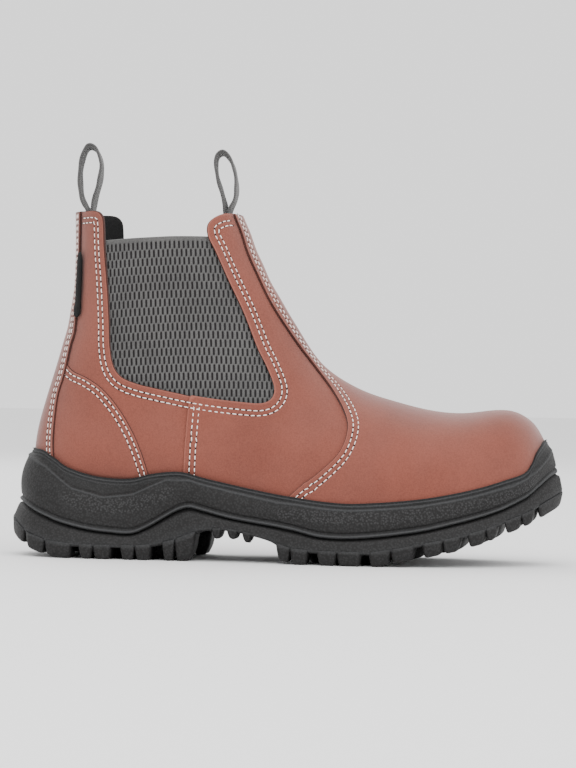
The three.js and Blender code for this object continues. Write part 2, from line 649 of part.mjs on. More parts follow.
// Webbing loop: a strap of even thickness along a side-view route, sewn in behind the collar's edge.
function pullLoop(route, anchorX) {
  const path = smooth(route.map(([x, z]) => new THREE.Vector2(anchorX + x, collarHeight + z)));
  const half = webbingThickness / 2;
  const faces = [1, -1].map((side) => path.map((point, i) => {
    const before = path[Math.max(i - 1, 0)];
    const after = path[Math.min(i + 1, path.length - 1)];
    const run = after.clone().sub(before).normalize();
    return new THREE.Vector2(point.x - side * run.y * half, point.y + side * run.x * half);
  }));
  return acrossBoot([...faces[0], ...faces[1].reverse()], -webbingWidth / 2, webbingWidth / 2);
}
function placeAtCollar(curveX, curveZ) {
  let low = 0.5 * lastSpan;
  let high = lastSpan;
  for (let i = 0; i < halvings; i += 1) {
    const middle = (low + high) / 2;
    if (curveZ(middle) < collarHeight) low = middle;
    else high = middle;
  }
  return curveX(low);
}
const backLoop = pullLoop(backLoopRoute, placeAtCollar(lastCurves.baseX, lastCurves.baseZ));
const frontLoop = pullLoop(frontLoopRoute, placeAtCollar(lastCurves.topX, lastCurves.topZ));

// Mesh of a solid, in its own node.
function meshOf(name, solid, finish) {
  const { vertProperties, triVerts, numProp } = solid.getMesh();
  const positions = new Float32Array((vertProperties.length / numProp) * 3);
  for (let i = 0; i < positions.length / 3; i += 1) {
    positions.set(vertProperties.subarray(i * numProp, i * numProp + 3), i * 3);
  }
  const geometry = new THREE.BufferGeometry();
  geometry.setAttribute('position', new THREE.BufferAttribute(positions, 3));
  geometry.setIndex(new THREE.BufferAttribute(new Uint32Array(triVerts), 1));
  const mesh = new THREE.Mesh(geometry, new THREE.MeshStandardMaterial(finish));
  mesh.name = name;
  return mesh;
}

// The boot, with its origin on the floor under the middle heel lug.
const boot = new THREE.Group();
boot.add(meshOf('outsole', outsole, blackRubber));
boot.add(meshOf('midsole', midsole, blackRubber));
boot.add(meshOf('insole', insole, insoleGrey));
boot.add(meshOf('upper', upper, leather));
boot.add(meshOf('vamp', vamp, leather));
boot.add(meshOf('back_strip', backStrip, leather));
boot.add(meshOf('gore_lateral', goreLateral, elasticGrey));
boot.add(meshOf('gore_medial', goreMedial, elasticGrey));
boot.add(meshOf('back_pull_loop', backLoop, webbingGrey));
boot.add(meshOf('front_pull_loop', frontLoop, webbingGrey));
boot.add(meshOf('back_tag', tag, tagBlack));
boot.position.x = -share((heelRestLug[0] + heelRestLug[1]) / 2);

export default boot;
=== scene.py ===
"""Pull-on work boot for the right foot: leather upper, elastic gores and a lugged rubber sole.

Lengths are millimetres on the boot, +X from the heel's rear to the toe, +Y to the inner side of the
foot, +Z up from the floor. Meshes are put into the row's frame in metres when they are made.
"""

from __future__ import annotations

import logging
from dataclasses import dataclass, field
from enum import Enum
from typing import Callable, Sequence

import bpy
import numpy as np
from mathutils import Matrix, Vector
from mathutils.geometry import delaunay_2d_cdt


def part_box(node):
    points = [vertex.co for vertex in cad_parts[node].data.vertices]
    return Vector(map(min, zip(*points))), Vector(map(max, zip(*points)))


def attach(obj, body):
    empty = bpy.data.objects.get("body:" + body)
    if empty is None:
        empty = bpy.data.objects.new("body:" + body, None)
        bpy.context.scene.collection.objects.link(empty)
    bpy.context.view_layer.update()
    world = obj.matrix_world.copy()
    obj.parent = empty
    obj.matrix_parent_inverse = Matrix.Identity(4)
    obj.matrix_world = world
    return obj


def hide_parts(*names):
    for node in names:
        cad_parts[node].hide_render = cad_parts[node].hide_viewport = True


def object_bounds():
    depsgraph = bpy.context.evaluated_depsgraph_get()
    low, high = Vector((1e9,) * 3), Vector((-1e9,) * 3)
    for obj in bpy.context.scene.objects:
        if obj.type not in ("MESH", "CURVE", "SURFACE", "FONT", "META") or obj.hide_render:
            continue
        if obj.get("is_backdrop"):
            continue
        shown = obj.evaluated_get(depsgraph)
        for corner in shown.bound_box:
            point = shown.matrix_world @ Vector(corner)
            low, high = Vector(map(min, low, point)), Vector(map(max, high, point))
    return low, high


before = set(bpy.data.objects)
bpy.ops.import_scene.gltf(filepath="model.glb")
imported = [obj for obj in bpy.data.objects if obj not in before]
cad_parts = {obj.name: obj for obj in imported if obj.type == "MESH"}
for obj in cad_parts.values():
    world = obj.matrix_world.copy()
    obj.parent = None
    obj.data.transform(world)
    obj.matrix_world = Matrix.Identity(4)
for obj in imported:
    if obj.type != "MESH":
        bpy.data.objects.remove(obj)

log = logging.getLogger("work_boot")
Array = np.ndarray

MM = 0.001
BODY = "root"

CAD_LOW, CAD_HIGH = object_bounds()
HEEL_X = CAD_LOW.x
SOLE_LENGTH = (CAD_HIGH.x - CAD_LOW.x) / MM
BALL_WIDTH = (CAD_HIGH.y - CAD_LOW.y) / MM
COLLAR_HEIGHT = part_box("upper")[1].z / MM
VAMP_HEIGHT = 0.4484 * COLLAR_HEIGHT
RIM_HEIGHT = 0.1573 * SOLE_LENGTH

# Sole stations from the heel's rear to the toe's tip. x is a share of the sole's length, lateral,
# medial, flare and bulge are shares of the ball width, heights are shares of the rim height.
STATION_COLUMNS = (
    "x", "lateral", "medial", "tread", "plate", "parting", "footbed", "rim", "flare", "bulge",
)
SOLE_STATIONS = np.array([
    [0, 3.1, 3.1, 27.8, 42.2, 62.7, 74.2, 122.2, 2.9, 2.7],
    [0.6, 12, 12, 24.9, 39.6, 62, 74.2, 122.2, 2.9, 2.7],
    [2.3, 22.1, 22.1, 18.7, 32.9, 58.2, 74.2, 121.8, 2.8, 2.6],
    [4.7, 29.4, 29.4, 9.8, 24, 52, 74.2, 120, 2.4, 2.5],
    [7.7, 34.2, 34, 3.6, 17.8, 45.3, 74, 112, 2.1, 2.4],
    [10.8, 36.9, 36.5, 0, 14.2, 39.1, 73.8, 102.2, 1.9, 2.2],
    [15.7, 38.7, 37.7, 0, 13.3, 32.4, 73.3, 93.3, 1.6, 2],
    [20.3, 39.2, 37.5, 0, 13.3, 29.3, 72.7, 90, 1.5, 1.9],
    [23.8, 39.2, 36.7, 0, 13.3, 28.7, 71.8, 90.9, 1.4, 1.8],
    [26.6, 39.2, 36, 0, 14.2, 35.6, 70.9, 95.6, 1.3, 1.7],
    [29.7, 39.3, 35.1, 0, 17.8, 47.1, 69.8, 98.7, 1.2, 1.6],
    [32.2, 39.4, 34.5, 0, 22.2, 56, 68.7, 99.6, 1.1, 1.6],
    [34.3, 39.6, 34.2, 1.3, 27.8, 59.6, 67.6, 97.6, 1, 1.5],
    [36.7, 40.1, 34.1, 24.2, 34.2, 56.4, 65.8, 93.3, 0.8, 1.5],
    [41.3, 41.5, 34.8, 27.8, 35.6, 49.3, 61.3, 87.1, 0.6, 1.5],
    [45.5, 43.2, 36.4, 22.7, 31.1, 44.9, 56.7, 81.8, 0.6, 1.5],
    [49, 44.7, 38.3, 16.4, 25.3, 41.8, 53.3, 77.8, 0.6, 1.5],
    [51, 45.7, 39.4, 4.4, 18.9, 39.8, 51.6, 75.8, 0.6, 1.5],
    [53.5, 46.8, 40.8, 0, 14.7, 36.9, 49.8, 73.8, 0.6, 1.5],
    [58, 48.7, 43.4, 0, 13.3, 30.7, 47.6, 70.2, 0.6, 1.5],
    [62.9, 50, 46.1, 0, 13.3, 29.6, 46.7, 68.4, 0.6, 1.5],
    [67.5, 50.2, 48.3, 0, 13.3, 31.8, 47.1, 69.8, 0.6, 1.5],
    [72, 49.4, 49.6, 4.9, 18.2, 35.3, 48.9, 72.2, 0.6, 1.5],
    [76.9, 47.5, 49.8, 11.1, 24.4, 40.4, 52.9, 76, 0.6, 1.5],
    [81.8, 44, 48.4, 18, 31.1, 48, 59.3, 81.8, 0.6, 1.5],
    [86.4, 39.2, 45.4, 26.7, 39.1, 56, 68, 89, 0.7, 1.4],
    [90.2, 33.5, 41.3, 36.9, 48.9, 64.4, 76.4, 97, 0.7, 1.3],
    [93.7, 26, 35.6, 46.2, 57.8, 75.1, 82.7, 105.6, 0.8, 1.2],
    [95.3, 22.2, 32.6, 51.4, 63, 81.6, 85.8, 117, 0.9, 1],
    [96.5, 17.7, 28.8, 56, 67.6, 88, 88.9, 130, 1, 0.9],
    [98.4, 9.2, 21.5, 63.6, 75.1, 98.9, 94.4, 140, 1.2, 0.8],
    [99.6, 1.2, 14, 68.4, 79.6, 104, 98.9, 142.2, 1.3, 0.8],
    [100, -2.7, 9.4, 70, 81.1, 105.6, 101.1, 142.2, 1.4, 0.8],
])

# Sections of the last, fanned from the toe's tip over the foot and up the shaft. topX and baseX are
# shares of the sole's length, topLift a share of the vamp height up to 100 and from there of the way
# on to the collar, baseRise a share of the way from the footbed to the collar. ridge, lateral and
# medial are shares of the ball width, widest the share of the height where it is widest, crown and
# seat the roundness above and below that.
LAST_COLUMNS = (
    "topX", "topLift", "baseX", "baseRise", "ridge", "lateral", "medial", "widest", "crown", "seat",
)
LAST_SECTIONS = np.array([
    [97.9, 62.5, 97.9, 6, 6, -6, 6, 50, 2.2, 2.2],
    [97.6, 71.5, 97.6, 2.3, 5.8, 2.4, 14, 46, 2.25, 2.4],
    [96.6, 79.5, 96.6, 0.6, 5.6, 10.6, 21.2, 40, 2.3, 2.8],
    [95.2, 88.2, 95.2, 0.1, 5.4, 18.5, 27.9, 36, 2.4, 3.2],
    [93.4, 94.5, 93.4, 0, 5.1, 25.2, 33.5, 33, 2.5, 3.6],
    [90.6, 98.9, 90.6, 0, 4.7, 31.5, 38.3, 31, 2.55, 4],
    [86.7, 99, 86.7, 0, 4.2, 36.9, 41.9, 29, 2.5, 4.4],
    [81.8, 97, 81.8, 0, 3.8, 41.3, 44.2, 28, 2.4, 4.6],
    [75.9, 98.5, 75.9, 0, 3.4, 44.5, 45, 27, 2.3, 4.8],
    [70.3, 102.5, 69.6, 0, 3.1, 45.9, 43.9, 26, 2.2, 4.8],
    [65.7, 106.4, 63.3, 0, 2.9, 45.6, 41.6, 26, 2.1, 4.8],
    [61.7, 111.2, 55.9, 0, 2.7, 43.5, 38.3, 26, 2.05, 4.6],
    [58.3, 116.9, 47.6, 0, 2.4, 40.4, 35.4, 28, 2.05, 4.4],
    [55.6, 123.7, 37.8, 0, 1.9, 37.7, 33.8, 31, 2.1, 4],
    [53.4, 132.5, 27.3, 0, 1.3, 35.9, 33.1, 35, 2.15, 3.6],
    [51.5, 141.3, 16.8, 0, 0.9, 34.8, 32.8, 38, 2.2, 3.1],
    [49.7, 149.6, 8.7, 0, 0.5, 34, 32.5, 40, 2.25, 2.7],
    [48, 157.9, 4.5, 6.6, 0.2, 33.4, 32.2, 42, 2.3, 2.45],
    [46.4, 165.6, 4, 17.6, 0, 32.8, 32, 44, 2.35, 2.35],
    [45.1, 173.8, 5.2, 29, 0, 32.4, 31.9, 46, 2.35, 2.35],
    [43.7, 182.2, 6.9, 40.4, 0, 32.2, 31.9, 47, 2.35, 2.35],
    [42.6, 190.7, 8.7, 52.9, 0, 32.1, 32, 48, 2.35, 2.35],
    [41.3, 199, 10.3, 68, 0, 32.2, 32.2, 48, 2.35, 2.35],
    [40.1, 207.3, 10.8, 85.3, 0, 32.4, 32.4, 48, 2.35, 2.35],
    [38.8, 214.8, 10.6, 103.9, 0, 32.7, 32.7, 48, 2.35, 2.35],
])


class Side(Enum):
    """The two sides of the boot, with the sign of y on each."""

    LATERAL = -1
    MEDIAL = 1


def height_of(lift: Array) -> Array:
    """Height of a lift share: up to 100 of the vamp height, from there of the way on to the collar."""
    lift = np.asarray(lift, float)
    upper = VAMP_HEIGHT + (lift - 100) / 100 * (COLLAR_HEIGHT - VAMP_HEIGHT)
    return np.where(lift <= 100, VAMP_HEIGHT * lift / 100, upper)


def side_view(rows: Sequence[Sequence[float]]) -> Array:
    """Side-view points (x, z) in millimetres of rows of (share of the sole's length, lift share)."""
    table = np.array(rows, float)
    return np.column_stack([table[:, 0] / 100 * SOLE_LENGTH, height_of(table[:, 1])])


def natural_spline(values: Array) -> Callable[[Array], Array]:
    """Natural cubic spline through evenly spaced values.

    Args:
        values: One value for each whole number from 0.

    Returns:
        A function of the number. Between two values it is their straight mix plus
        ((a^3 - a) * bend_left + (b^3 - b) * bend_right) / 6, a and b the shares to either side.
    """
    values = np.asarray(values, float)
    count = len(values)
    system = np.eye(count)
    bends = np.zeros(count)
    inner = np.arange(1, count - 1)
    system[inner, inner - 1] = system[inner, inner + 1] = 1.0
    system[inner, inner] = 4.0
    bends[inner] = 6 * (values[2:] - 2 * values[1:-1] + values[:-2])
    second = np.linalg.solve(system, bends)

    def curve(t: Array) -> Array:
        """Value of the spline at t."""
        t = np.asarray(t, float)
        i = np.clip(np.floor(t).astype(int), 0, count - 2)
        b = t - i
        a = 1 - b
        bend = (a**3 - a) * second[i] + (b**3 - b) * second[i + 1]
        return a * values[i] + b * values[i + 1] + bend / 6

    return curve


def smooth_curve(points: Array, spacing: float) -> Array:
    """Catmull-Rom curve through points, sampled at an even spacing along its length.

    Args:
        points: Control points, one in a row.
        spacing: Distance between the samples.

    Returns:
        The samples. Each span is the cubic whose slope at a point is half the chord of its neighbours.
    """
    points = np.asarray(points, float)
    ends = np.vstack([2 * points[0] - points[1], points, 2 * points[-1] - points[-2]])
    t = np.linspace(0, len(points) - 1, 40 * (len(points) - 1) + 1)
    i = np.minimum(t.astype(int), len(points) - 2)
    f = (t - i)[:, None]
    p0, p1, p2, p3 = ends[i], ends[i + 1], ends[i + 2], ends[i + 3]
    dense = p1 + 0.5 * f * (
        p2 - p0 + f * (2 * p0 - 5 * p1 + 4 * p2 - p3 + f * (3 * (p1 - p2) + p3 - p0))
    )
    return even_samples(dense, spacing)


def even_samples(points: Array, spacing: float) -> Array:
    """Points at an even spacing along a polyline, its two ends among them."""
    steps = np.linalg.norm(np.diff(points, axis=0), axis=1)
    run = np.concatenate([[0], np.cumsum(steps)])
    count = max(2, int(round(run[-1] / spacing)) + 1)
    places = np.linspace(0, run[-1], count)
    return np.column_stack([np.interp(places, run, points[:, k]) for k in range(points.shape[1])])


def parallel_curve(points: Array, distance: float) -> Array:
    """Side-view curve moved to the left of its run by a distance, without points that fold back."""
    run = np.gradient(points, axis=0)
    run /= np.linalg.norm(run, axis=1, keepdims=True)
    moved = points + distance * np.column_stack([-run[:, 1], run[:, 0]])
    gaps = np.sqrt(((moved[:, None, :] - points[None, ::2, :]) ** 2).sum(2)).min(1)
    return moved[gaps > 0.93 * abs(distance)]


def smooth_step(low: float, high: float, value: Array) -> Array:
    """0 below low, 1 above high, and 3s^2 - 2s^3 of the share s between them."""
    s = np.clip((value - low) / (high - low), 0, 1)
    return s * s * (3 - 2 * s)


def unit(vectors: Array) -> Array:
    """Vectors along the last axis, at length one."""
    return vectors / np.maximum(np.linalg.norm(vectors, axis=-1, keepdims=True), 1e-9)


class Last:
    """The foot form that every leather piece lies on: s runs along its sections, phi round each."""

    def __init__(self) -> None:
        """Fits a natural spline to each column of the sections."""
        share = dict(zip(LAST_COLUMNS, LAST_SECTIONS.T / 100))
        floor = np.interp(share["baseX"], SOLE_STATIONS[:, 0] / 100, SOLE_STATIONS[:, 6] / 100)
        floor = floor * RIM_HEIGHT
        columns = {
            "top_x": share["topX"] * SOLE_LENGTH,
            "top_z": height_of(LAST_SECTIONS[:, 1]),
            "base_x": share["baseX"] * SOLE_LENGTH,
            "base_z": floor + share["baseRise"] * (COLLAR_HEIGHT - floor),
            "ridge": share["ridge"] * BALL_WIDTH,
            "lateral": share["lateral"] * BALL_WIDTH,
            "medial": share["medial"] * BALL_WIDTH,
            "widest": share["widest"],
            "crown": LAST_SECTIONS[:, 8],
            "seat": LAST_SECTIONS[:, 9],
        }
        self.curves = {name: natural_spline(values) for name, values in columns.items()}
        self.span = float(len(LAST_SECTIONS) - 1)

    def point(self, s: Array, phi: Array) -> Array:
        """Points of the last.

        Args:
            s: Section number, 0 at the toe's tip.
            phi: Angle round the section, 0 at the crown, negative lateral, positive medial.

        Returns:
            Points (x, y, z). A section is a superellipse about its widest place: up is
            widest + reach * |cos|^(2 / power) and out is |sin|^(2 / power), power being crown
            above the widest place and seat below it.
        """
        c = {name: curve(s) for name, curve in self.curves.items()}
        cosine, sine = np.cos(phi), np.sin(phi)
        power = 2 / np.where(cosine >= 0, c["crown"], c["seat"])
        reach = np.where(cosine >= 0, 1 - c["widest"], -c["widest"])
        up = c["widest"] + reach * np.abs(cosine) ** power
        out = np.abs(sine) ** power
        edge = np.where(sine < 0, -c["lateral"], c["medial"])
        return np.stack([
            c["base_x"] + (c["top_x"] - c["base_x"]) * up,
            c["ridge"] + (edge - c["ridge"]) * out,
            c["base_z"] + (c["top_z"] - c["base_z"]) * up,
        ], axis=-1)

    def normal(self, s: Array, phi: Array) -> Array:
        """Outward unit normals: across the differences of neighbouring points along and round."""
        along = self.point(s + 0.05, phi) - self.point(np.maximum(s - 0.05, 0.01), phi)
        around = self.point(s, phi + 0.03) - self.point(s, phi - 0.03)
        return unit(np.cross(around, along))

    def skin(self, s: Array, phi: Array, offset: Array | float) -> Array:
        """Points at an offset from the last, outward positive, in millimetres."""
        lift = np.broadcast_to(np.asarray(offset, float), np.shape(s))
        return self.point(s, phi) + self.normal(s, phi) * lift[..., None]

    def locate(self, x: Array, z: Array) -> tuple[Array, Array]:
        """Section number and angle of side-view points, by halving on the fan of sections.

        Args:
            x: Places along the boot.
            z: Heights.

        Returns:
            Section number s, and the angle from the crown, 0 to pi.
        """
        c = self.curves
        low, high = np.full(np.shape(x), 0.05), np.full(np.shape(x), self.span)
        for _ in range(30):
            s = (low + high) / 2
            ahead = (c["top_x"](s) - c["base_x"](s)) * (z - c["base_z"](s))
            ahead = ahead - (c["top_z"](s) - c["base_z"](s)) * (x - c["base_x"](s))
            low, high = np.where(ahead > 0, s, low), np.where(ahead > 0, high, s)
        chord_x, chord_z = c["top_x"](s) - c["base_x"](s), c["top_z"](s) - c["base_z"](s)
        up = (x - c["base_x"](s)) * chord_x + (z - c["base_z"](s)) * chord_z
        up = up / (chord_x**2 + chord_z**2)
        widest = c["widest"](s)
        above = up > widest
        away = np.where(above, (up - widest) / (1 - widest), (widest - up) / widest).clip(0, 1)
        power = np.where(above, c["crown"](s), c["seat"](s))
        return s, np.arccos(np.where(above, 1, -1) * away ** (power / 2))

    def trace(self, outline: Array, side: Side, wrap: bool = False) -> Array:
        """Side-view points as (s, phi) on one side; wrapped pieces count the lateral side past pi."""
        s, angle = self.locate(outline[:, 0], outline[:, 1])
        phi = angle if side is Side.MEDIAL else (2 * np.pi - angle if wrap else -angle)
        return np.column_stack([s, phi])


LAST = Last()


def to_frame(points: Array) -> Array:
    """Boot millimetres to the row's frame in metres."""
    return points * MM + np.array([HEEL_X, 0.0, 0.0])


@dataclass
class Shape:
    """Points in millimetres, faces, and for each face the number of its material."""

    points: Array
    faces: list[Array]
    materials: Array | None = None
    values: dict[str, Array] = field(default_factory=dict)
    uv: Array | None = None


def join_shapes(shapes: Sequence[Shape]) -> Shape:
    """One shape of several, their faces renumbered."""
    faces: list[Array] = []
    materials: list[Array] = []
    base = 0
    names = shapes[0].values.keys()
    for shape in shapes:
        count = 0
        for block in shape.faces:
            faces.append(block + base)
            count += len(block)
        given = shape.materials
        materials.append(np.zeros(count, int) if given is None else given)
        base += len(shape.points)
    return Shape(
        np.vstack([shape.points for shape in shapes]),
        faces,
        np.concatenate(materials),
        {name: np.concatenate([shape.values[name] for shape in shapes]) for name in names},
        None if shapes[0].uv is None else np.vstack([shape.uv for shape in shapes]),
    )


def make_piece(
    name: str,
    shape: Shape,
    materials: Sequence[bpy.types.Material],
    replaces: Sequence[str] = (),
) -> bpy.types.Object:
    """A shaded mesh object in the row's frame, on the boot's one body.

    Args:
        name: The object's name.
        shape: Its points in millimetres and its faces.
        materials: Its finishes, in the order that the shape counts them.
        replaces: The CAD nodes that it stands for.

    Returns:
        The new object.
    """
    mesh = bpy.data.meshes.new(name)
    blocks = shape.faces
    loops = np.concatenate([block.ravel() for block in blocks]).astype(np.int32)
    sizes = np.concatenate([np.full(len(block), block.shape[1]) for block in blocks])
    starts = np.concatenate([[0], np.cumsum(sizes)[:-1]]).astype(np.int32)
    mesh.vertices.add(len(shape.points))
    mesh.vertices.foreach_set("co", to_frame(shape.points).astype(np.float32).ravel())
    mesh.loops.add(len(loops))
    mesh.loops.foreach_set("vertex_index", loops)
    mesh.polygons.add(len(sizes))
    mesh.polygons.foreach_set("loop_start", starts)
    mesh.update(calc_edges=True)
    for finish in materials:
        mesh.materials.append(finish)
    if shape.materials is not None:
        mesh.polygons.foreach_set("material_index", shape.materials.astype(np.int32))
    mesh.polygons.foreach_set("use_smooth", np.ones(len(sizes), bool))
    for key, values in shape.values.items():
        layer = mesh.attributes.new(key, "FLOAT", "POINT")
        layer.data.foreach_set("value", values.astype(np.float32))
    if shape.uv is not None:
        layer = mesh.uv_layers.new(name="UVMap")
        layer.data.foreach_set("uv", shape.uv[loops].astype(np.float32).ravel())
    mesh.validate()
    mesh.update()
    piece = bpy.data.objects.new(name, mesh)
    bpy.context.scene.collection.objects.link(piece)
    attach(piece, BODY)
    if replaces:
        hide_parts(*replaces)
    log.info("%s: %d points, %d faces", name, len(shape.points), len(sizes))
    return piece


@dataclass
class Lattice:
    """Points (s, phi) over an outline on the last, their triangles and the outline's own points."""

    params: Array
    triangles: Array
    loop: Array


def inside_polygon(points: Array, polygon: Array) -> Array:
    """Whether points lie inside a polygon: an odd number of its edges pass to their right."""
    x, y = points[:, 0, None], points[:, 1, None]
    x0, y0 = polygon[:, 0], polygon[:, 1]
    x1, y1 = np.roll(x0, -1), np.roll(y0, -1)
    crosses = (y0 > y) != (y1 > y)
    place = x0 + (y - y0) * (x1 - x0) / np.where(y1 == y0, 1e-12, y1 - y0)
    return (crosses & (x < place)).sum(1) % 2 == 1


def nearest_distance(points: Array, targets: Array) -> Array:
    """Distance from each point to the nearest of the targets."""
    result = np.empty(len(points))
    for start in range(0, len(points), 3000):
        block = points[start:start + 3000]
        result[start:start + 3000] = np.sqrt(((block[:, None] - targets[None]) ** 2).sum(2)).min(1)
    return result


def fill_outline(outline: Array, step: tuple[float, float]) -> Lattice:
    """Even triangles over a closed outline.

    Args:
        outline: Closed outline (s, phi), its first point not repeated.
        step: Spacing of the lattice in s and in phi.

    Returns:
        The lattice: the outline's points, and points in staggered rows inside it, joined by
        constrained Delaunay triangles.
    """
    scaled = outline / np.array(step)
    low, high = scaled.min(0), scaled.max(0)
    columns, rows = np.arange(low[0], high[0], 1.0), np.arange(low[1], high[1], 0.87)
    grid_x, grid_y = np.meshgrid(columns, rows, indexing="xy")
    grid_x = grid_x + 0.5 * (np.arange(len(rows)) % 2)[:, None]
    grid = np.column_stack([grid_x.ravel(), grid_y.ravel()])
    grid = grid[inside_polygon(grid, scaled)]
    grid = grid[nearest_distance(grid, scaled) > 0.55]
    points = np.vstack([scaled, grid])
    count = len(scaled)
    edges = [(i, (i + 1) % count) for i in range(count)]
    found, _, faces, origins, _, _ = delaunay_2d_cdt(
        [Vector(p) for p in points.tolist()], edges, [], 0, 1e-7, True
    )
    place = np.full(len(points), -1)
    for new, old in enumerate(origins):
        place[list(old)] = new
    placed = np.array([tuple(p) for p in found])
    triangles = np.array([tuple(face) for face in faces])
    triangles = triangles[inside_polygon(placed[triangles].mean(1), scaled)]
    return Lattice(placed * np.array(step), triangles, place[:count])


def sheet_shape(
    lattice: Lattice,
    top: Array | float,
    thickness: float,
    rounding: float = 0.35,
    values: dict[str, Array] | None = None,
) -> Shape:
    """A sheet on the last with an outer face, a rounded cut edge and an inner face.

    Args:
        lattice: Its points and triangles.
        top: Offset of the outer face from the last, one number or one for each point.
        thickness: Thickness of the sheet.
        rounding: Radius of the outer edge.
        values: Values at the lattice's points, to be kept as attributes.

    Returns:
        The closed shape; its faces count 0 outer, 1 edge, 2 inner. The edge is a quarter circle
        of rings carried outward across the outline's run, then a straight wall.
    """
    s, phi = lattice.params[:, 0], lattice.params[:, 1]
    ground, normal = LAST.point(s, phi), LAST.normal(s, phi)
    lift = np.broadcast_to(np.asarray(top, float), s.shape)
    outer = ground + normal * lift[:, None]
    triangles = lattice.triangles
    corner = outer[triangles]
    facing = np.cross(corner[:, 1] - corner[:, 0], corner[:, 2] - corner[:, 0])
    if (facing * normal[triangles[:, 0]]).sum() < 0:
        triangles = triangles[:, ::-1]
    loop = lattice.loop
    directed = {(a, b) for t in triangles for a, b in ((t[0], t[1]), (t[1], t[2]), (t[2], t[0]))}
    if (loop[0], loop[1]) not in directed:
        loop = loop[::-1]
    run = unit(np.roll(outer[loop], -1, 0) - np.roll(outer[loop], 1, 0))
    away = unit(np.cross(run, normal[loop]))
    edge_lift = lift[loop][:, None]
    turn = np.linspace(0, np.pi / 2, 4)
    profile = [(-rounding * (1 - np.sin(a)), rounding * (1 - np.cos(a))) for a in turn]
    profile.append((0.0, thickness - 0.3 * rounding))
    rings = [
        ground[loop] + away * shift + normal[loop] * (edge_lift - depth) for shift, depth in profile
    ]
    outer[loop] = rings[0]
    inner = ground + normal * (lift - thickness)[:, None]
    inner[loop] -= 0.3 * rounding * away
    count, size = len(outer), len(loop)
    points = np.vstack([outer, inner, *rings[1:]])
    following = np.roll(np.arange(size), -1)
    levels = [loop, *[2 * count + k * size + np.arange(size) for k in range(len(rings) - 1)]]
    levels.append(loop + count)
    walls = [
        np.column_stack([a, b, b[following], a[following]]) for a, b in zip(levels, levels[1:])
    ]
    wall = np.vstack(walls)
    kept = {
        name: np.concatenate([value, value, np.zeros(len(points) - 2 * count)])
        for name, value in (values or {}).items()
    }
    numbers = np.repeat([0, 2, 1], [len(triangles), len(triangles), len(wall)])
    return Shape(points, [triangles, triangles[:, ::-1] + count, wall], numbers, kept)


@dataclass(frozen=True)
class StitchSizes:
    """Sizes of the contrast seams."""

    pitch: float = 3.15
    length: float = 2.35
    radius: float = 0.27
    hole: float = 0.44


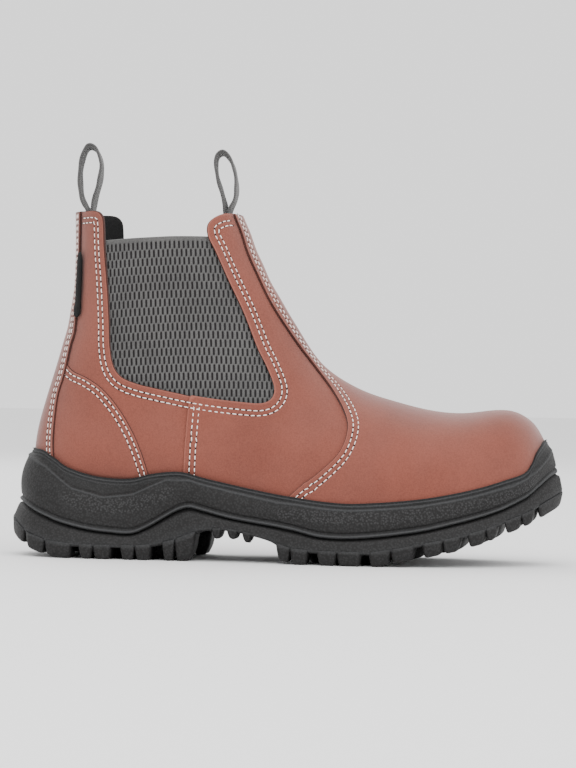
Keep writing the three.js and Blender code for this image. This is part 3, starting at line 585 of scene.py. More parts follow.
class Seams:
    """Collects the thread and the needle holes of all the rows, to be made as two pieces."""

    def __init__(self, sizes: StitchSizes = StitchSizes()) -> None:
        """Starts with no rows."""
        self.sizes = sizes
        self.threads: list[Shape] = []
        self.holes: list[Shape] = []
        self.random = np.random.default_rng(7)

    def add_row(self, trace: Array, offset: float) -> None:
        """Adds a row of stitches.

        Args:
            trace: Points (s, phi) of the row.
            offset: Height of the leather's face over the last.
        """
        dense = LAST.skin(trace[:, 0], trace[:, 1], offset)
        run = np.concatenate([[0], np.cumsum(np.linalg.norm(np.diff(dense, axis=0), axis=1))])
        count = int(run[-1] / self.sizes.pitch)
        if count < 1:
            return
        margin = (run[-1] - count * self.sizes.pitch) / 2
        middles = margin + self.sizes.pitch * (np.arange(count) + 0.5)
        self._add_thread(trace, run, middles, offset)
        holes = margin + self.sizes.pitch * np.arange(count + 1)
        self._add_holes(trace, run, holes, offset)

    def _frames(
        self, trace: Array, run: Array, places: Array, offset: float
    ) -> tuple[Array, Array, Array, Array]:
        """Positions, directions along and across the row, and normals at lengths along it."""
        s, phi = np.interp(places, run, trace[:, 0]), np.interp(places, run, trace[:, 1])
        ahead, back = places + 0.8, places - 0.8
        centre = LAST.skin(s, phi, offset)
        after = LAST.skin(np.interp(ahead, run, trace[:, 0]), np.interp(ahead, run, trace[:, 1]), offset)
        before = LAST.skin(np.interp(back, run, trace[:, 0]), np.interp(back, run, trace[:, 1]), offset)
        normal = LAST.normal(s, phi)
        along = unit(after - before)
        across = unit(np.cross(normal, along))
        return centre, along, across, normal

    def _add_thread(self, trace: Array, run: Array, places: Array, offset: float) -> None:
        """One stitch each: a tube of rings whose middle arches up and whose ends dive in.

        Along it, at share u from -1 to 1, the height is 0.16 - 0.5 u^4 and the radius shrinks
        by a third of u^4.
        """
        centre, along, across, normal = self._frames(trace, run, places, offset)
        count, size = len(places), self.sizes
        turn = self.random.normal(0, 0.045, count)[:, None]
        along, across = unit(along + turn * across), unit(across - turn * along)
        u = np.array([-1, -0.86, -0.5, 0, 0.5, 0.86, 1])
        ring = np.linspace(0, 2 * np.pi, 7)[:-1]
        radius = size.radius * (1 - 0.34 * u**4)
        length = size.length * self.random.uniform(0.93, 1.05, count)[:, None] / 2
        rise = 0.16 - 0.5 * u**4
        axis = (
            centre[:, None]
            + along[:, None] * (length * u)[..., None]
            + normal[:, None] * rise[None, :, None]
        )
        tube = (
            axis[:, :, None]
            + across[:, None, None] * (radius[:, None] * np.cos(ring))[None, ..., None]
            + normal[:, None, None] * (0.8 * radius[:, None] * np.sin(ring))[None, ..., None]
        )
        levels, around = len(u), len(ring)
        each = levels * around
        i, j = np.meshgrid(np.arange(levels - 1), np.arange(around), indexing="ij")
        a, b = (i * around + j).ravel(), (i * around + (j + 1) % around).ravel()
        quads = np.column_stack([a, b, b + around, a + around])
        base = (np.arange(count) * each)[:, None, None]
        caps = np.array([np.arange(around)[::-1], each - around + np.arange(around)])
        tint = np.repeat(self.random.uniform(0, 1, count), each)
        self.threads.append(Shape(
            tube.reshape(-1, 3),
            [(quads[None] + base).reshape(-1, 4), (caps[None] + base).reshape(-1, around)],
            None,
            {"tint": tint},
        ))

    def _add_holes(self, trace: Array, run: Array, places: Array, offset: float) -> None:
        """Needle holes: small cups coloured dark as painted shade of the hole, a ring on the leather and a point
        below it.
        """
        centre, along, across, normal = self._frames(trace, run, places, offset + 0.05)
        ring = np.linspace(0, 2 * np.pi, 9)[:-1]
        radius = self.sizes.hole * self.random.uniform(0.75, 1.15, len(places))[:, None, None]
        disc = centre[:, None] + radius * (
            along[:, None] * 1.15 * np.cos(ring)[None, :, None]
            + across[:, None] * np.sin(ring)[None, :, None]
        )
        tip = centre + normal * 0.04
        points = np.concatenate([disc, tip[:, None]], axis=1)
        around = len(ring)
        j = np.arange(around)
        fans = np.column_stack([j, (j + 1) % around, np.full(around, around)])
        base = (np.arange(len(places)) * (around + 1))[:, None, None]
        self.holes.append(Shape(points.reshape(-1, 3), [(fans[None] + base).reshape(-1, 3)]))

    def build(self, finishes: "Finishes") -> None:
        """Makes the collected rows as a thread piece and a piece of needle holes in painted shade."""
        make_piece("seam_thread", join_shapes(self.threads), [finishes.thread])
        make_piece("needle_holes", join_shapes(self.holes), [finishes.hole])


Socket = bpy.types.NodeSocket
Colour = tuple[float, float, float]


def linear(red: int, green: int, blue: int) -> Colour:
    """Scene-linear colour of an 8-bit display colour, by the sRGB curve."""
    levels = np.array([red, green, blue]) / 255
    return tuple(np.where(levels <= 0.04045, levels / 12.92, ((levels + 0.055) / 1.055) ** 2.4))


class Nodes:
    """Short calls for laying out a node tree."""

    def __init__(self, tree: bpy.types.NodeTree) -> None:
        """Works on a tree."""
        self.tree = tree

    def add(self, kind: str, **settings: object) -> bpy.types.Node:
        """A node of a kind, with its own settings."""
        node = self.tree.nodes.new(kind)
        for name, value in settings.items():
            setattr(node, name, value)
        return node

    def feed(self, target: Socket, value: Socket | float | Sequence[float]) -> None:
        """Links a socket to an input, or sets the input's own value."""
        if isinstance(value, bpy.types.NodeSocket):
            self.tree.links.new(value, target)
        elif isinstance(value, (tuple, list)) and len(value) == 3 and target.type == "RGBA":
            target.default_value = (*value, 1.0)
        else:
            target.default_value = value

    def math(self, operation: str, a: Socket | float, b: Socket | float = 0.0) -> Socket:
        """Result of a math operation on two values."""
        node = self.add("ShaderNodeMath", operation=operation)
        self.feed(node.inputs[0], a)
        self.feed(node.inputs[1], b)
        return node.outputs[0]

    def noise(self, place: Socket, scale: float, detail: float = 3.0, rough: float = 0.55) -> Socket:
        """Noise values at places, scale being cells a metre."""
        node = self.add("ShaderNodeTexNoise")
        self.feed(node.inputs["Vector"], place)
        self.feed(node.inputs["Scale"], scale)
        self.feed(node.inputs["Detail"], detail)
        self.feed(node.inputs["Roughness"], rough)
        return node.outputs["Fac"]

    def cells(self, place: Socket, scale: float, feature: str = "F1") -> Socket:
        """Distances to cell centres at places, scale being cells a metre."""
        node = self.add("ShaderNodeTexVoronoi", feature=feature)
        self.feed(node.inputs["Vector"], place)
        self.feed(node.inputs["Scale"], scale)
        return node.outputs["Distance"]

    def ramp(
        self, value: Socket, low: float, high: float, start: float = 0.0, end: float = 1.0
    ) -> Socket:
        """Value carried smoothly from low..high to start..end."""
        node = self.add("ShaderNodeMapRange", interpolation_type="SMOOTHSTEP")
        for name, given in zip(
            ("Value", "From Min", "From Max", "To Min", "To Max"), (value, low, high, start, end)
        ):
            self.feed(node.inputs[name], given)
        return node.outputs["Result"]

    def mix(
        self,
        share: Socket | float,
        first: Socket | Colour,
        second: Socket | Colour,
        blend: str = "MIX",
    ) -> Socket:
        """Two colours mixed by a share."""
        node = self.add("ShaderNodeMix", data_type="RGBA", blend_type=blend)
        self.feed(node.inputs["Factor"], share)
        self.feed(node.inputs["A"] if node.inputs["A"].type == "RGBA" else node.inputs[6], first)
        self.feed(node.inputs["B"] if node.inputs["B"].type == "RGBA" else node.inputs[7], second)
        return node.outputs[2]

    def attribute(self, name: str) -> Socket:
        """Value of a mesh attribute."""
        return self.add("ShaderNodeAttribute", attribute_name=name).outputs["Fac"]

    def place(self) -> Socket:
        """Object coordinates."""
        return self.add("ShaderNodeTexCoord").outputs["Object"]


def new_group(
    name: str, inputs: Sequence[tuple[str, str]], outputs: Sequence[tuple[str, str]]
) -> tuple[bpy.types.NodeTree, Nodes, bpy.types.Node, bpy.types.Node]:
    """A shader node group with named sockets.

    Args:
        name: The group's name.
        inputs: Names and socket types of its inputs.
        outputs: Names and socket types of its outputs.

    Returns:
        The group, calls for laying it out, its input node and its output node.
    """
    tree = bpy.data.node_groups.new(name, "ShaderNodeTree")
    for socket, kind in inputs:
        tree.interface.new_socket(socket, in_out="INPUT", socket_type=kind)
    for socket, kind in outputs:
        tree.interface.new_socket(socket, in_out="OUTPUT", socket_type=kind)
    nodes = Nodes(tree)
    return tree, nodes, nodes.add("NodeGroupInput"), nodes.add("NodeGroupOutput")


FLOAT, VECTOR, COLOUR = "NodeSocketFloat", "NodeSocketVector", "NodeSocketColor"


def mottle_group() -> bpy.types.NodeTree:
    """Colour that varies in broad clouds and fine specks about a base colour."""
    tree, n, start, end = new_group(
        "mottle",
        [("Place", VECTOR), ("Base", COLOUR), ("Shade", COLOUR), ("Cloud Scale", FLOAT),
         ("Speck Scale", FLOAT), ("Cloud", FLOAT), ("Speck", FLOAT)],
        [("Color", COLOUR)],
    )
    put = start.outputs
    cloud = n.ramp(n.noise(put["Place"], put["Cloud Scale"], 3.0), 0.32, 0.68)
    speck = n.ramp(n.noise(put["Place"], put["Speck Scale"], 2.0, 0.7), 0.35, 0.7)
    share = n.math("ADD", n.math("MULTIPLY", cloud, put["Cloud"]), n.math("MULTIPLY", speck, put["Speck"]))
    n.feed(end.inputs["Color"], n.mix(n.math("MINIMUM", share, 1.0), put["Base"], put["Shade"]))
    return tree


def nap_group() -> bpy.types.NodeTree:
    """Height of brushed leather: fine fibres over faint pores and soft swells."""
    tree, n, start, end = new_group("nap", [("Place", VECTOR)], [("Height", FLOAT)])
    place = start.outputs["Place"]
    fibre = n.math("MULTIPLY", n.noise(place, 2600.0, 3.0, 0.7), 0.5)
    pores = n.math("MULTIPLY", n.ramp(n.cells(place, 900.0), 0.0, 0.45), 0.3)
    swell = n.math("MULTIPLY", n.noise(place, 170.0, 2.0), 1.6)
    n.feed(end.inputs["Height"], n.math("ADD", n.math("ADD", fibre, pores), swell))
    return tree


def channel_group() -> bpy.types.NodeTree:
    """Dips that two rows of stitches press into leather, by the distance from its cut edge.

    A dip is 1 at its row and falls to 0 at Width to either side. Edge is 1 at the cut edge and
    falls to 0 at one millimetre.
    """
    tree, n, start, end = new_group(
        "channel",
        [("Distance", FLOAT), ("First", FLOAT), ("Second", FLOAT), ("Width", FLOAT)],
        [("Dip", FLOAT), ("Edge", FLOAT)],
    )
    put = start.outputs
    dips = [
        n.ramp(n.math("ABSOLUTE", n.math("SUBTRACT", put["Distance"], put[row])), 0.0, put["Width"], 1.0, 0.0)
        for row in ("First", "Second")
    ]
    n.feed(end.inputs["Dip"], n.math("MAXIMUM", *dips))
    n.feed(end.inputs["Edge"], n.ramp(put["Distance"], 0.0, 1.0, 1.0, 0.0))
    return tree


def pebble_group() -> bpy.types.NodeTree:
    """Height of moulded rubber's grain: rounded pebbles, stronger where Amount is."""
    tree, n, start, end = new_group(
        "pebble", [("Place", VECTOR), ("Scale", FLOAT), ("Amount", FLOAT)], [("Height", FLOAT), ("Top", FLOAT)]
    )
    put = start.outputs
    coarse = n.ramp(n.cells(put["Place"], put["Scale"]), 0.1, 0.75, 1.0, 0.0)
    coarse = n.math("MULTIPLY", coarse, put["Amount"])
    fine = n.math("MULTIPLY", n.noise(put["Place"], 1900.0, 2.0), 0.3)
    n.feed(end.inputs["Height"], n.math("ADD", coarse, fine))
    n.feed(end.inputs["Top"], coarse)
    return tree


@dataclass(frozen=True)
class Finish:
    """Uniform numbers of a finish."""

    name: str
    base: Colour
    shade: Colour
    roughness: float
    sheen: float = 0.0
    specular: float = 0.5
    bump: float = 0.4
    relief: float = 0.0002


LEATHER = Finish("nubuck", linear(126, 70, 57), linear(106, 57, 46), 0.88, 0.25, 0.25, 0.5, 0.00018)
# Cut edge: darker partly as the raw edge's own tone and partly as painted shade of the edge in shadow.
CUT_EDGE = Finish("cut_edge", linear(74, 40, 33), linear(46, 25, 21), 0.95, 0.1, 0.2, 0.6, 0.0002)
LINING = Finish("lining", linear(24, 23, 24), linear(10, 10, 11), 0.9, 0.1, 0.3, 0.5, 0.0002)
THREAD = Finish("thread", linear(243, 236, 230), linear(214, 190, 180), 0.7, 0.2, 0.3, 0.5, 0.0001)
# Painted shade: the dark of a needle hole, on flat discs over the leather.
HOLE_SHADE = Finish("needle_hole_shade", linear(30, 20, 18), linear(18, 12, 11), 0.9)
ELASTIC = Finish("elastic", linear(88, 87, 86), linear(56, 55, 55), 0.85, 0.15, 0.3, 0.5, 0.0002)
SLOT = linear(20, 17, 18)
WEBBING = Finish("webbing", linear(104, 103, 101), linear(66, 65, 65), 0.8, 0.15, 0.3, 0.6, 0.0002)
RUBBER = Finish("rubber", linear(25, 24, 24), linear(13, 12, 12), 0.66, 0.0, 0.26, 0.7, 0.0003)
INSOLE = Finish("insole_fabric", linear(52, 52, 55), linear(34, 34, 36), 0.95, 0.2, 0.2, 0.5, 0.0002)
TAG = Finish("tag_fabric", linear(15, 14, 14), linear(8, 8, 8), 0.8, 0.0, 0.25, 0.5, 0.00012)


class Finishes:
    """The boot's materials."""

    def __init__(self) -> None:
        """Builds the shared groups, then each material."""
        self.mottle = mottle_group()
        self.nap = nap_group()
        self.channel = channel_group()
        self.pebble = pebble_group()
        self.leather = self._leather(LEATHER)
        self.cut_edge = self._plain(CUT_EDGE, 60.0, 1500.0)
        self.lining = self._woven(LINING, 1100.0)
        self.thread = self._thread()
        self.hole = self._plain(HOLE_SHADE, 80.0, 900.0)
        self.elastic = self._elastic()
        self.webbing = self._webbing()
        self.rubber = self._rubber()
        self.insole = self._woven(INSOLE, 800.0)
        self.tag = self._woven(TAG, 1300.0)

    def _start(self, finish: Finish) -> tuple[bpy.types.Material, Nodes, bpy.types.Node, Socket]:
        """A material with its shader's uniform numbers set."""
        material = bpy.data.materials.new(finish.name)
        material.use_nodes = True
        nodes = Nodes(material.node_tree)
        shader = material.node_tree.nodes["Principled BSDF"]
        shader.inputs["Roughness"].default_value = finish.roughness
        shader.inputs["Sheen Weight"].default_value = finish.sheen
        shader.inputs["Specular IOR Level"].default_value = finish.specular
        return material, nodes, shader, nodes.place()

    def _use(self, nodes: Nodes, tree: bpy.types.NodeTree, **inputs: object) -> bpy.types.Node:
        """A group placed in a material with its own values; underscores stand for spaces."""
        node = nodes.add("ShaderNodeGroup", node_tree=tree)
        for name, value in inputs.items():
            nodes.feed(node.inputs[name.replace("_", " ")], value)
        return node

    def _mottled(
        self, nodes: Nodes, finish: Finish, place: Socket, cloud: float, speck: float,
        cloud_amount: float = 0.5, speck_amount: float = 0.4,
    ) -> Socket:
        """Base colour with clouds and specks of the finish's shade."""
        group = self._use(
            nodes, self.mottle, Place=place, Base=finish.base, Shade=finish.shade, Cloud_Scale=cloud,
            Speck_Scale=speck, Cloud=cloud_amount, Speck=speck_amount,
        )
        return group.outputs["Color"]

    def _bump(self, nodes: Nodes, shader: bpy.types.Node, height: Socket, finish: Finish) -> None:
        """Feeds a height to the shader's normal."""
        node = nodes.add("ShaderNodeBump")
        nodes.feed(node.inputs["Strength"], finish.bump)
        nodes.feed(node.inputs["Distance"], finish.relief)
        nodes.feed(node.inputs["Height"], height)
        nodes.feed(shader.inputs["Normal"], node.outputs["Normal"])

    def _plain(self, finish: Finish, cloud: float, speck: float) -> bpy.types.Material:
        """A mottled finish with a rough grain."""
        material, n, shader, place = self._start(finish)
        n.feed(shader.inputs["Base Color"], self._mottled(n, finish, place, cloud, speck))
        self._bump(n, shader, n.noise(place, speck, 3.0, 0.7), finish)
        return material

    def _leather(self, finish: Finish) -> bpy.types.Material:
        """Nubuck: soft clouds, nap, dips along the stitch rows with painted shade in them, and a painted
        highlight along the rolled cut edge.
        """
        material, n, shader, place = self._start(finish)
        colour = self._mottled(n, finish, place, 22.0, 1300.0, 0.5, 0.6)
        seam = self._use(
            n, self.channel, Distance=n.attribute("edge"), First=n.attribute("first_row"),
            Second=n.attribute("second_row"), Width=1.3,
        )
        # Painted shade: the leather's shade colour mixed into the dips along the stitch rows.
        colour = n.mix(n.math("MULTIPLY", seam.outputs["Dip"], 0.22), colour, finish.shade)
        # Painted highlight: lighter colour within a millimetre of the stitched cut edge, where the rolled edge
        # catches light.
        colour = n.mix(n.math("MULTIPLY", seam.outputs["Edge"], 0.35), colour, linear(166, 106, 92))
        n.feed(shader.inputs["Base Color"], colour)
        nap = self._use(n, self.nap, Place=place).outputs["Height"]
        height = n.math("SUBTRACT", nap, n.math("MULTIPLY", seam.outputs["Dip"], 1.6))
        self._bump(n, shader, height, finish)
        rough = n.ramp(n.noise(place, 40.0, 2.0), 0.3, 0.7, finish.roughness - 0.08, finish.roughness + 0.05)
        n.feed(shader.inputs["Roughness"], rough)
        return material

    def _woven(self, finish: Finish, threads: float) -> bpy.types.Material:
        """Close cloth: crossed threads, so many a metre, on the two long directions."""
        material, n, shader, place = self._start(finish)
        parts = n.add("ShaderNodeSeparateXYZ")
        n.feed(parts.inputs[0], place)
        pace = 2 * np.pi * threads
        along = n.math("SINE", n.math("MULTIPLY", n.math("ADD", parts.outputs[0], parts.outputs[1]), pace))
        across = n.math("SINE", n.math("MULTIPLY", n.math("SUBTRACT", parts.outputs[2], parts.outputs[1]), pace))
        weave = n.math("MULTIPLY", along, across)
        colour = self._mottled(n, finish, place, 40.0, 1400.0)
        n.feed(shader.inputs["Base Color"], n.mix(n.ramp(weave, -1.0, 1.0, 0.0, 0.5), colour, finish.shade))
        self._bump(n, shader, weave, finish)
        return material

    def _thread(self) -> bpy.types.Material:
        """Contrast thread: each stitch a little lighter or darker, with twisted fibres."""
        material, n, shader, place = self._start(THREAD)
        share = n.math("MULTIPLY", n.attribute("tint"), 0.5)
        n.feed(shader.inputs["Base Color"], n.mix(share, THREAD.base, THREAD.shade))
        self._bump(n, shader, n.noise(place, 4200.0, 2.0), THREAD)
        return material

    def _elastic(self) -> bpy.types.Material:
        """Gore cloth: grey cords, dark in the slots between them."""
        material, n, shader, place = self._start(ELASTIC)
        colour = self._mottled(n, ELASTIC, place, 60.0, 2600.0, 0.25, 0.55)
        slot = n.ramp(n.attribute("slot"), 0.15, 0.75)
        n.feed(shader.inputs["Base Color"], n.mix(slot, colour, SLOT))
        self._bump(n, shader, n.noise(place, 2600.0, 3.0, 0.7), ELASTIC)
        return material

    def _webbing(self) -> bpy.types.Material:
        """Loop webbing: slanted ribs across the strap with painted shade in the troughs between them, darker
        edges and dark flecks.
        """
        material, n, shader, place = self._start(WEBBING)
        uv = n.add("ShaderNodeUVMap", uv_map="UVMap")
        parts = n.add("ShaderNodeSeparateXYZ")
        n.feed(parts.inputs[0], uv.outputs["UV"])
        along, across = parts.outputs[0], parts.outputs[1]
        fold = n.math("ABSOLUTE", n.math("SUBTRACT", n.math("FRACT", n.math("MULTIPLY", across, 4.0)), 0.5))
        phase = n.math("ADD", n.math("MULTIPLY", along, 5.6), n.math("MULTIPLY", fold, 9.0))
        rib = n.math("SINE", phase)
        colour = self._mottled(n, WEBBING, place, 90.0, 1500.0, 0.3, 0.6)
        # Painted shade: the shade colour mixed into the troughs of the ribs.
        colour = n.mix(n.ramp(rib, -1.0, 0.4, 0.55, 0.0), colour, WEBBING.shade)
        rim = n.ramp(n.math("ABSOLUTE", n.math("SUBTRACT", across, 0.5)), 0.38, 0.5, 0.0, 0.75)
        n.feed(shader.inputs["Base Color"], n.mix(rim, colour, linear(70, 69, 69)))
        self._bump(n, shader, rib, WEBBING)
        return material

    def _rubber(self) -> bpy.types.Material:
        """Moulded rubber: pebbled where the attribute grain is, with painted highlight on the pebble tops and
        where the attribute light is, and painted shade where the attribute dark is.
        """
        material, n, shader, place = self._start(RUBBER)
        colour = self._mottled(n, RUBBER, place, 30.0, 1100.0, 0.4, 0.35)
        pebble = self._use(n, self.pebble, Place=place, Scale=900.0, Amount=n.attribute("grain"))
        # Painted highlight on the pebble tops.
        colour = n.mix(n.math("MULTIPLY", pebble.outputs["Top"], 0.26), colour, linear(84, 84, 85))
        # Painted highlight: lighter grey where the attribute light is.
        colour = n.mix(n.math("MULTIPLY", n.attribute("light"), 0.55), colour, linear(88, 90, 92))
        # Painted shade: near black where the attribute dark is.
        colour = n.mix(n.math("MULTIPLY", n.attribute("dark"), 0.85), colour, linear(14, 14, 14))
        n.feed(shader.inputs["Base Color"], colour)
        self._bump(n, shader, pebble.outputs["Height"], RUBBER)
        return material


STATION = dict(zip(STATION_COLUMNS, SOLE_STATIONS.T))
STATION_X = STATION["x"] / 100 * SOLE_LENGTH

# Side-view outlines. x is a share of the sole's length, lift is counted as topLift is.
GORE_OPENING = side_view([
    [12.4, 200], [14.6, 200.2], [15.8, 199.7], [16.6, 198.0], [17.1, 194.3], [17.4, 179.8],
    [18, 164], [18.7, 142.9], [19, 129.9], [19.7, 120], [21.2, 113.9], [24, 110.4], [28.5, 107.5],
    [35.7, 103.7], [42.9, 101.5], [46.9, 101.2], [48.7, 104.3], [49, 110.5], [47.5, 120.8],
    [45.6, 131.1], [43, 149.1], [40.4, 164.6], [38, 179.9], [36.7, 187.4], [36.5, 193.0],
    [37.2, 196.6], [38.4, 199.0], [39.3, 200], [40.0, 200.2],
])
GORE_TOP = side_view([[0, 181.2], [17.9, 184.5], [23.5, 185.7], [29.8, 186.9], [36.9, 187.7], [60, 189]])
VAMP_SEAM = side_view([
    [43.9, 173.7], [47.2, 154.4], [51.3, 136.5], [55.4, 121.2], [59, 108.6], [61.5, 96.8],
    [62.3, 85.4], [61.1, 71.4], [57.6, 58.5], [54.1, 48.8], [51.5, 40.2], [50.4, 37.0],
])
STRIP_EDGE = side_view([
    [12.35, 200], [12.3, 185.2], [12, 143], [11.2, 129.8], [10.2, 114], [9.1, 102.4], [8.6, 78.9],
    [8.7, 64], [9, 58],
])
SIDE_SEAM = side_view([[34.3, 104.6], [33.9, 102.6], [33.4, 80.3], [33.1, 56], [33, 47]])
COUNTER_SEAM = side_view([
    [9.6, 119.5], [11.6, 114.5], [14.5, 111], [17.5, 105.4], [20.4, 95.3], [22.7, 82.6],
    [24.4, 70], [25.6, 57.2], [26.2, 48],
])
RIM_LINE = np.array([
    [0, 55], [18.9, 53.9], [23.1, 49.3], [31.6, 45.4], [40, 43], [52.5, 40.7], [65, 40.4],
    [74.3, 42.9], [82.6, 44], [90.8, 44.7], [99.1, 43.4], [111.5, 40.6], [123.9, 37.8],
    [136.2, 35.5], [149.7, 33.6], [161.9, 31.8], [178.2, 30.7], [194.3, 31.5], [210.4, 32.9],
    [226.5, 34.7], [242.4, 38.6], [254, 41.6], [261.9, 44.8], [267.9, 47.4], [273, 50.2], [280, 60],
])
VAMP_TOP_ANGLE = 0.31
TUCK = 4.0
TRACE_STEP = 1.2


def rim_height(x: Array) -> Array:
    """Height of the sole's rim along the side."""
    return np.interp(x, RIM_LINE[:, 0], RIM_LINE[:, 1])


def move_trace(trace: Array, distance: float, trim: bool = True) -> Array:
    """A trace moved sideways over the last.

    Args:
        trace: Points (s, phi).
        distance: Millimetres to the right of the run, seen from outside; negative to the left.
        trim: Whether to leave out points that end nearer to the trace than the distance.

    Returns:
        The moved trace. Each point walks in small steps across the run, in the plane that touches
        the last, and every step is turned back into s and phi by least squares.
    """
    start = LAST.point(trace[:, 0], trace[:, 1])
    run = unit(np.gradient(start, axis=0))
    across = unit(np.cross(run, LAST.normal(trace[:, 0], trace[:, 1]))) * np.sign(distance)
    steps = max(1, int(np.ceil(abs(distance) / 0.7)))
    moved = trace.copy()
    for _ in range(steps):
        s, phi = moved[:, 0], moved[:, 1]
        by_s = (LAST.point(s + 0.01, phi) - LAST.point(s - 0.01, phi)) / 0.02
        by_phi = (LAST.point(s, phi + 0.01) - LAST.point(s, phi - 0.01)) / 0.02
        step = across * abs(distance) / steps
        ss, sp, pp = (by_s**2).sum(1), (by_s * by_phi).sum(1), (by_phi**2).sum(1)
        a, b = (by_s * step).sum(1), (by_phi * step).sum(1)
        det = ss * pp - sp**2
        moved[:, 0] += (a * pp - b * sp) / det
        moved[:, 1] += (b * ss - a * sp) / det
    if not trim:
        return moved
    gaps = nearest_distance(LAST.point(moved[:, 0], moved[:, 1]), start)
    return moved[gaps > 0.9 * abs(distance)]


def even_trace(trace: Array, spacing: float = TRACE_STEP) -> Array:
    """A trace with its points at an even spacing over the last."""
    points = LAST.point(trace[:, 0], trace[:, 1])
    run = np.concatenate([[0], np.cumsum(np.linalg.norm(np.diff(points, axis=0), axis=1))])
    count = max(2, int(round(run[-1] / spacing)) + 1)
    places = np.linspace(0, run[-1], count)
    return np.column_stack([np.interp(places, run, trace[:, k]) for k in (0, 1)])


def link_traces(*traces: Array) -> Array:
    """A closed outline of traces laid end to end, evenly spaced, with straight links between."""
    closed = np.vstack([*traces, traces[0][:1]])
    keep = np.concatenate([[True], np.abs(np.diff(closed, axis=0)).sum(1) > 1e-6])
    return even_trace(closed[keep])[:-1]


def level_trace(phi: Array, height: float) -> Array:
    """Trace at one height over angles round the shaft, by halving along the sections."""
    low, high = np.full(phi.shape, 16.0), np.full(phi.shape, LAST.span)
    for _ in range(30):
        s = (low + high) / 2
        below = LAST.point(s, phi)[..., 2] < height
        low, high = np.where(below, s, low), np.where(below, high, s)
    return np.column_stack([s, phi])


@dataclass(frozen=True)
class Crease:
    """A soft trough or ridge between two side-view points; a negative depth is a ridge."""

    start: tuple[float, float]
    end: tuple[float, float]
    width: float
    depth: float


CREASES = (
    Crease((150, 104), (172, 78), 5.5, 0.35),
    Crease((160, 108), (186, 74), 6.0, -0.3),
    Crease((172, 97), (196, 66), 6.5, 0.28),
    Crease((146, 92), (166, 60), 6.0, 0.3),
    Crease((60, 88), (88, 70), 7.0, 0.3),
    Crease((30, 118), (48, 106), 5.0, 0.35),
    Crease((34, 140), (48, 134), 5.0, 0.25),
    Crease((104, 74), (130, 56), 7.0, -0.3),
)


def crease_relief(params: Array) -> Array:
    """Lift of the creases at points (s, phi): each is -depth * exp(-(distance / width)^2)."""
    place = LAST.point(params[:, 0], params[:, 1])[:, [0, 2]]
    lift = np.zeros(len(params))
    for crease in CREASES:
        start, end = np.array(crease.start), np.array(crease.end)
        share = ((place - start) @ (end - start) / ((end - start) @ (end - start))).clip(0, 1)
        gap = np.linalg.norm(place - (start + share[:, None] * (end - start)), axis=1)
        lift -= crease.depth * np.exp(-((gap / crease.width) ** 2))
    return lift


